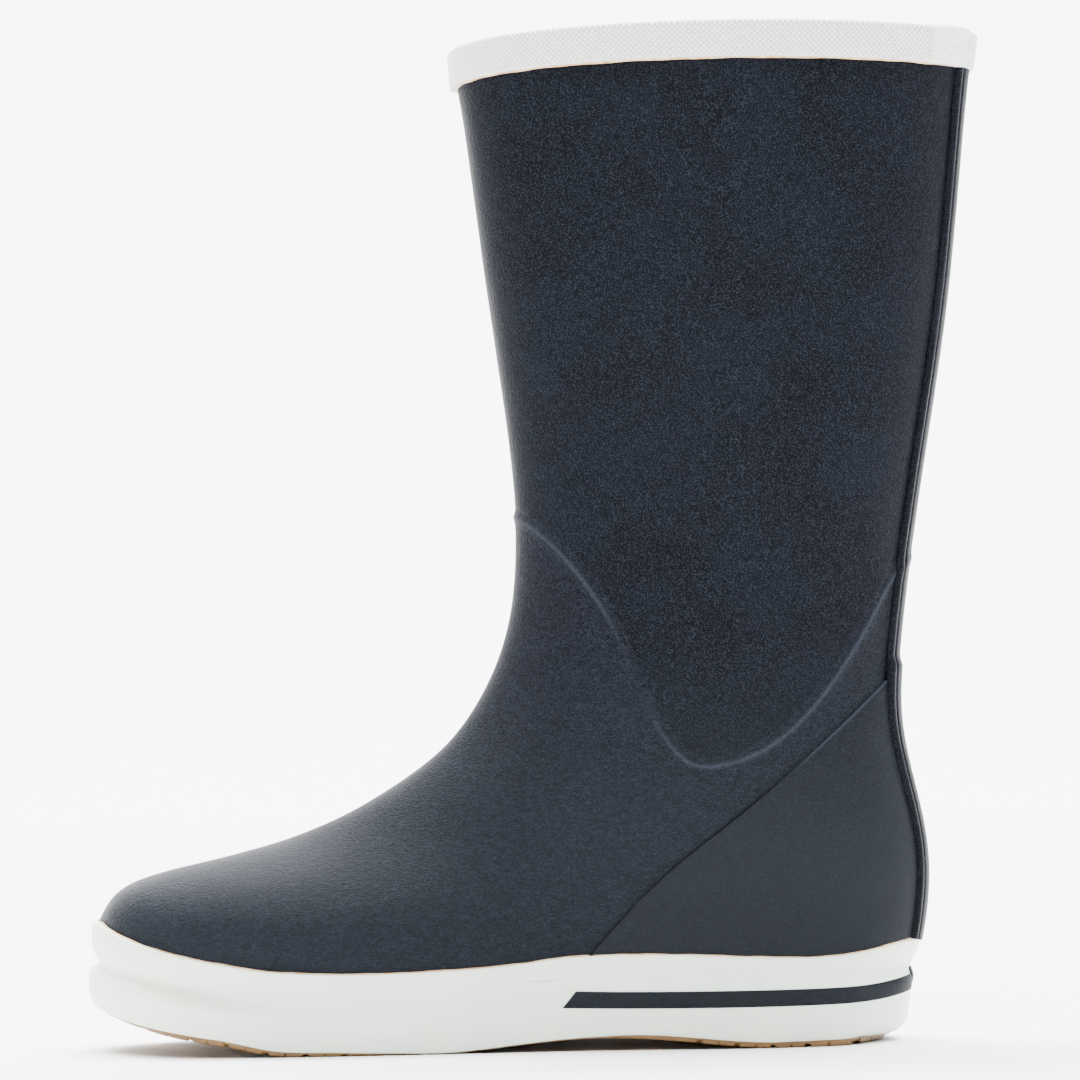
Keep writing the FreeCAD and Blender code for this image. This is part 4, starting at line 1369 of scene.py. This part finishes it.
# name, place, target, width, height and power
LIGHTS = [
    ("left_box", (-1.3, 0.2, 0.45), AIM, 0.5, 1.5, 7.0),
    ("right_box", (1.3, 0.2, 0.45), AIM, 0.5, 1.5, 7.0),
    ("top_box", (0.0, -0.3, 1.6), AIM, 1.6, 1.2, 50.0),
    ("front_fill", (0.0, -1.7, 2.0), AIM, 2.0, 1.0, 50.0),
    ("backdrop_light", (0.0, 2.7, 7.2), (0.0, 4.8, 0.9), 9.0, 3.0, 4700.0),
]


def studio():
    """White sweep: a floor that curves up into a distant backdrop."""
    turn = np.linspace(0.0, 0.5 * math.pi, 16)
    floor = np.linspace(-SWEEP_HALF, SWEEP_BEND, 20)
    reach = np.concatenate([floor, SWEEP_BEND + SWEEP_RADIUS * np.sin(turn)])
    rise = np.concatenate([np.zeros(len(floor)), SWEEP_RADIUS - SWEEP_RADIUS * np.cos(turn)])
    reach = np.append(reach, reach[-1])
    rise = np.append(rise, SWEEP_HEIGHT)
    points = [(x, y, z) for y, z in zip(reach, rise) for x in (-SWEEP_HALF, SWEEP_HALF)]
    faces = [(2 * i, 2 * i + 1, 2 * i + 3, 2 * i + 2) for i in range(len(reach) - 1)]
    mesh = bpy.data.meshes.new("sweep")
    mesh.from_pydata(points, [], faces)
    mesh.polygons.foreach_set("use_smooth", [True] * len(mesh.polygons))
    paper = Look("pale_paper", 0.9)
    mesh.materials.append(paper.done(PAPER))
    sweep = bpy.data.objects.new("sweep", mesh)
    bpy.context.scene.collection.objects.link(sweep)


def area_light(name, place, target, width, height, power):
    """Soft box turned towards a point."""
    data = bpy.data.lights.new(name, "AREA")
    data.shape = "RECTANGLE"
    data.size = width
    data.size_y = height
    data.energy = power
    lamp = bpy.data.objects.new(name, data)
    lamp.location = place
    lamp.rotation_mode = "QUATERNION"
    lamp.rotation_quaternion = (Vector(target) - Vector(place)).to_track_quat("-Z", "Y")
    bpy.context.scene.collection.objects.link(lamp)


def camera():
    """Level side view from the inner side of the boot."""
    data = bpy.data.cameras.new("camera")
    data.sensor_width = 36.0
    data.lens = EYE_LENS
    eye = bpy.data.objects.new("camera", data)
    place = Vector(EYE)
    aim = Vector(EYE_AIM)
    eye.location = place
    turn = (aim - place).to_track_quat("-Z", "Y").to_matrix().to_4x4()
    eye.rotation_mode = "QUATERNION"
    eye.rotation_quaternion = (turn @ Matrix.Rotation(EYE_ROLL, 4, "Z")).to_quaternion()
    bpy.context.scene.collection.objects.link(eye)
    bpy.context.scene.camera = eye


def room():
    """White room that is dark behind the camera, so that the front of the boot stays deep."""
    world = bpy.data.worlds.new("room")
    graph = Graph(world, "Background")
    direction = graph.node("TexCoord", {}, "Generated")
    graph.set("Color", (1.0, 1.0, 1.0, 1.0))
    graph.set("Strength", graph.ranged(graph.axes(direction)[1], -0.35, 0.8, 0.12, 1.8))
    bpy.context.scene.world = world


studio()
camera()
for light in LIGHTS:
    area_light(*light)
room()
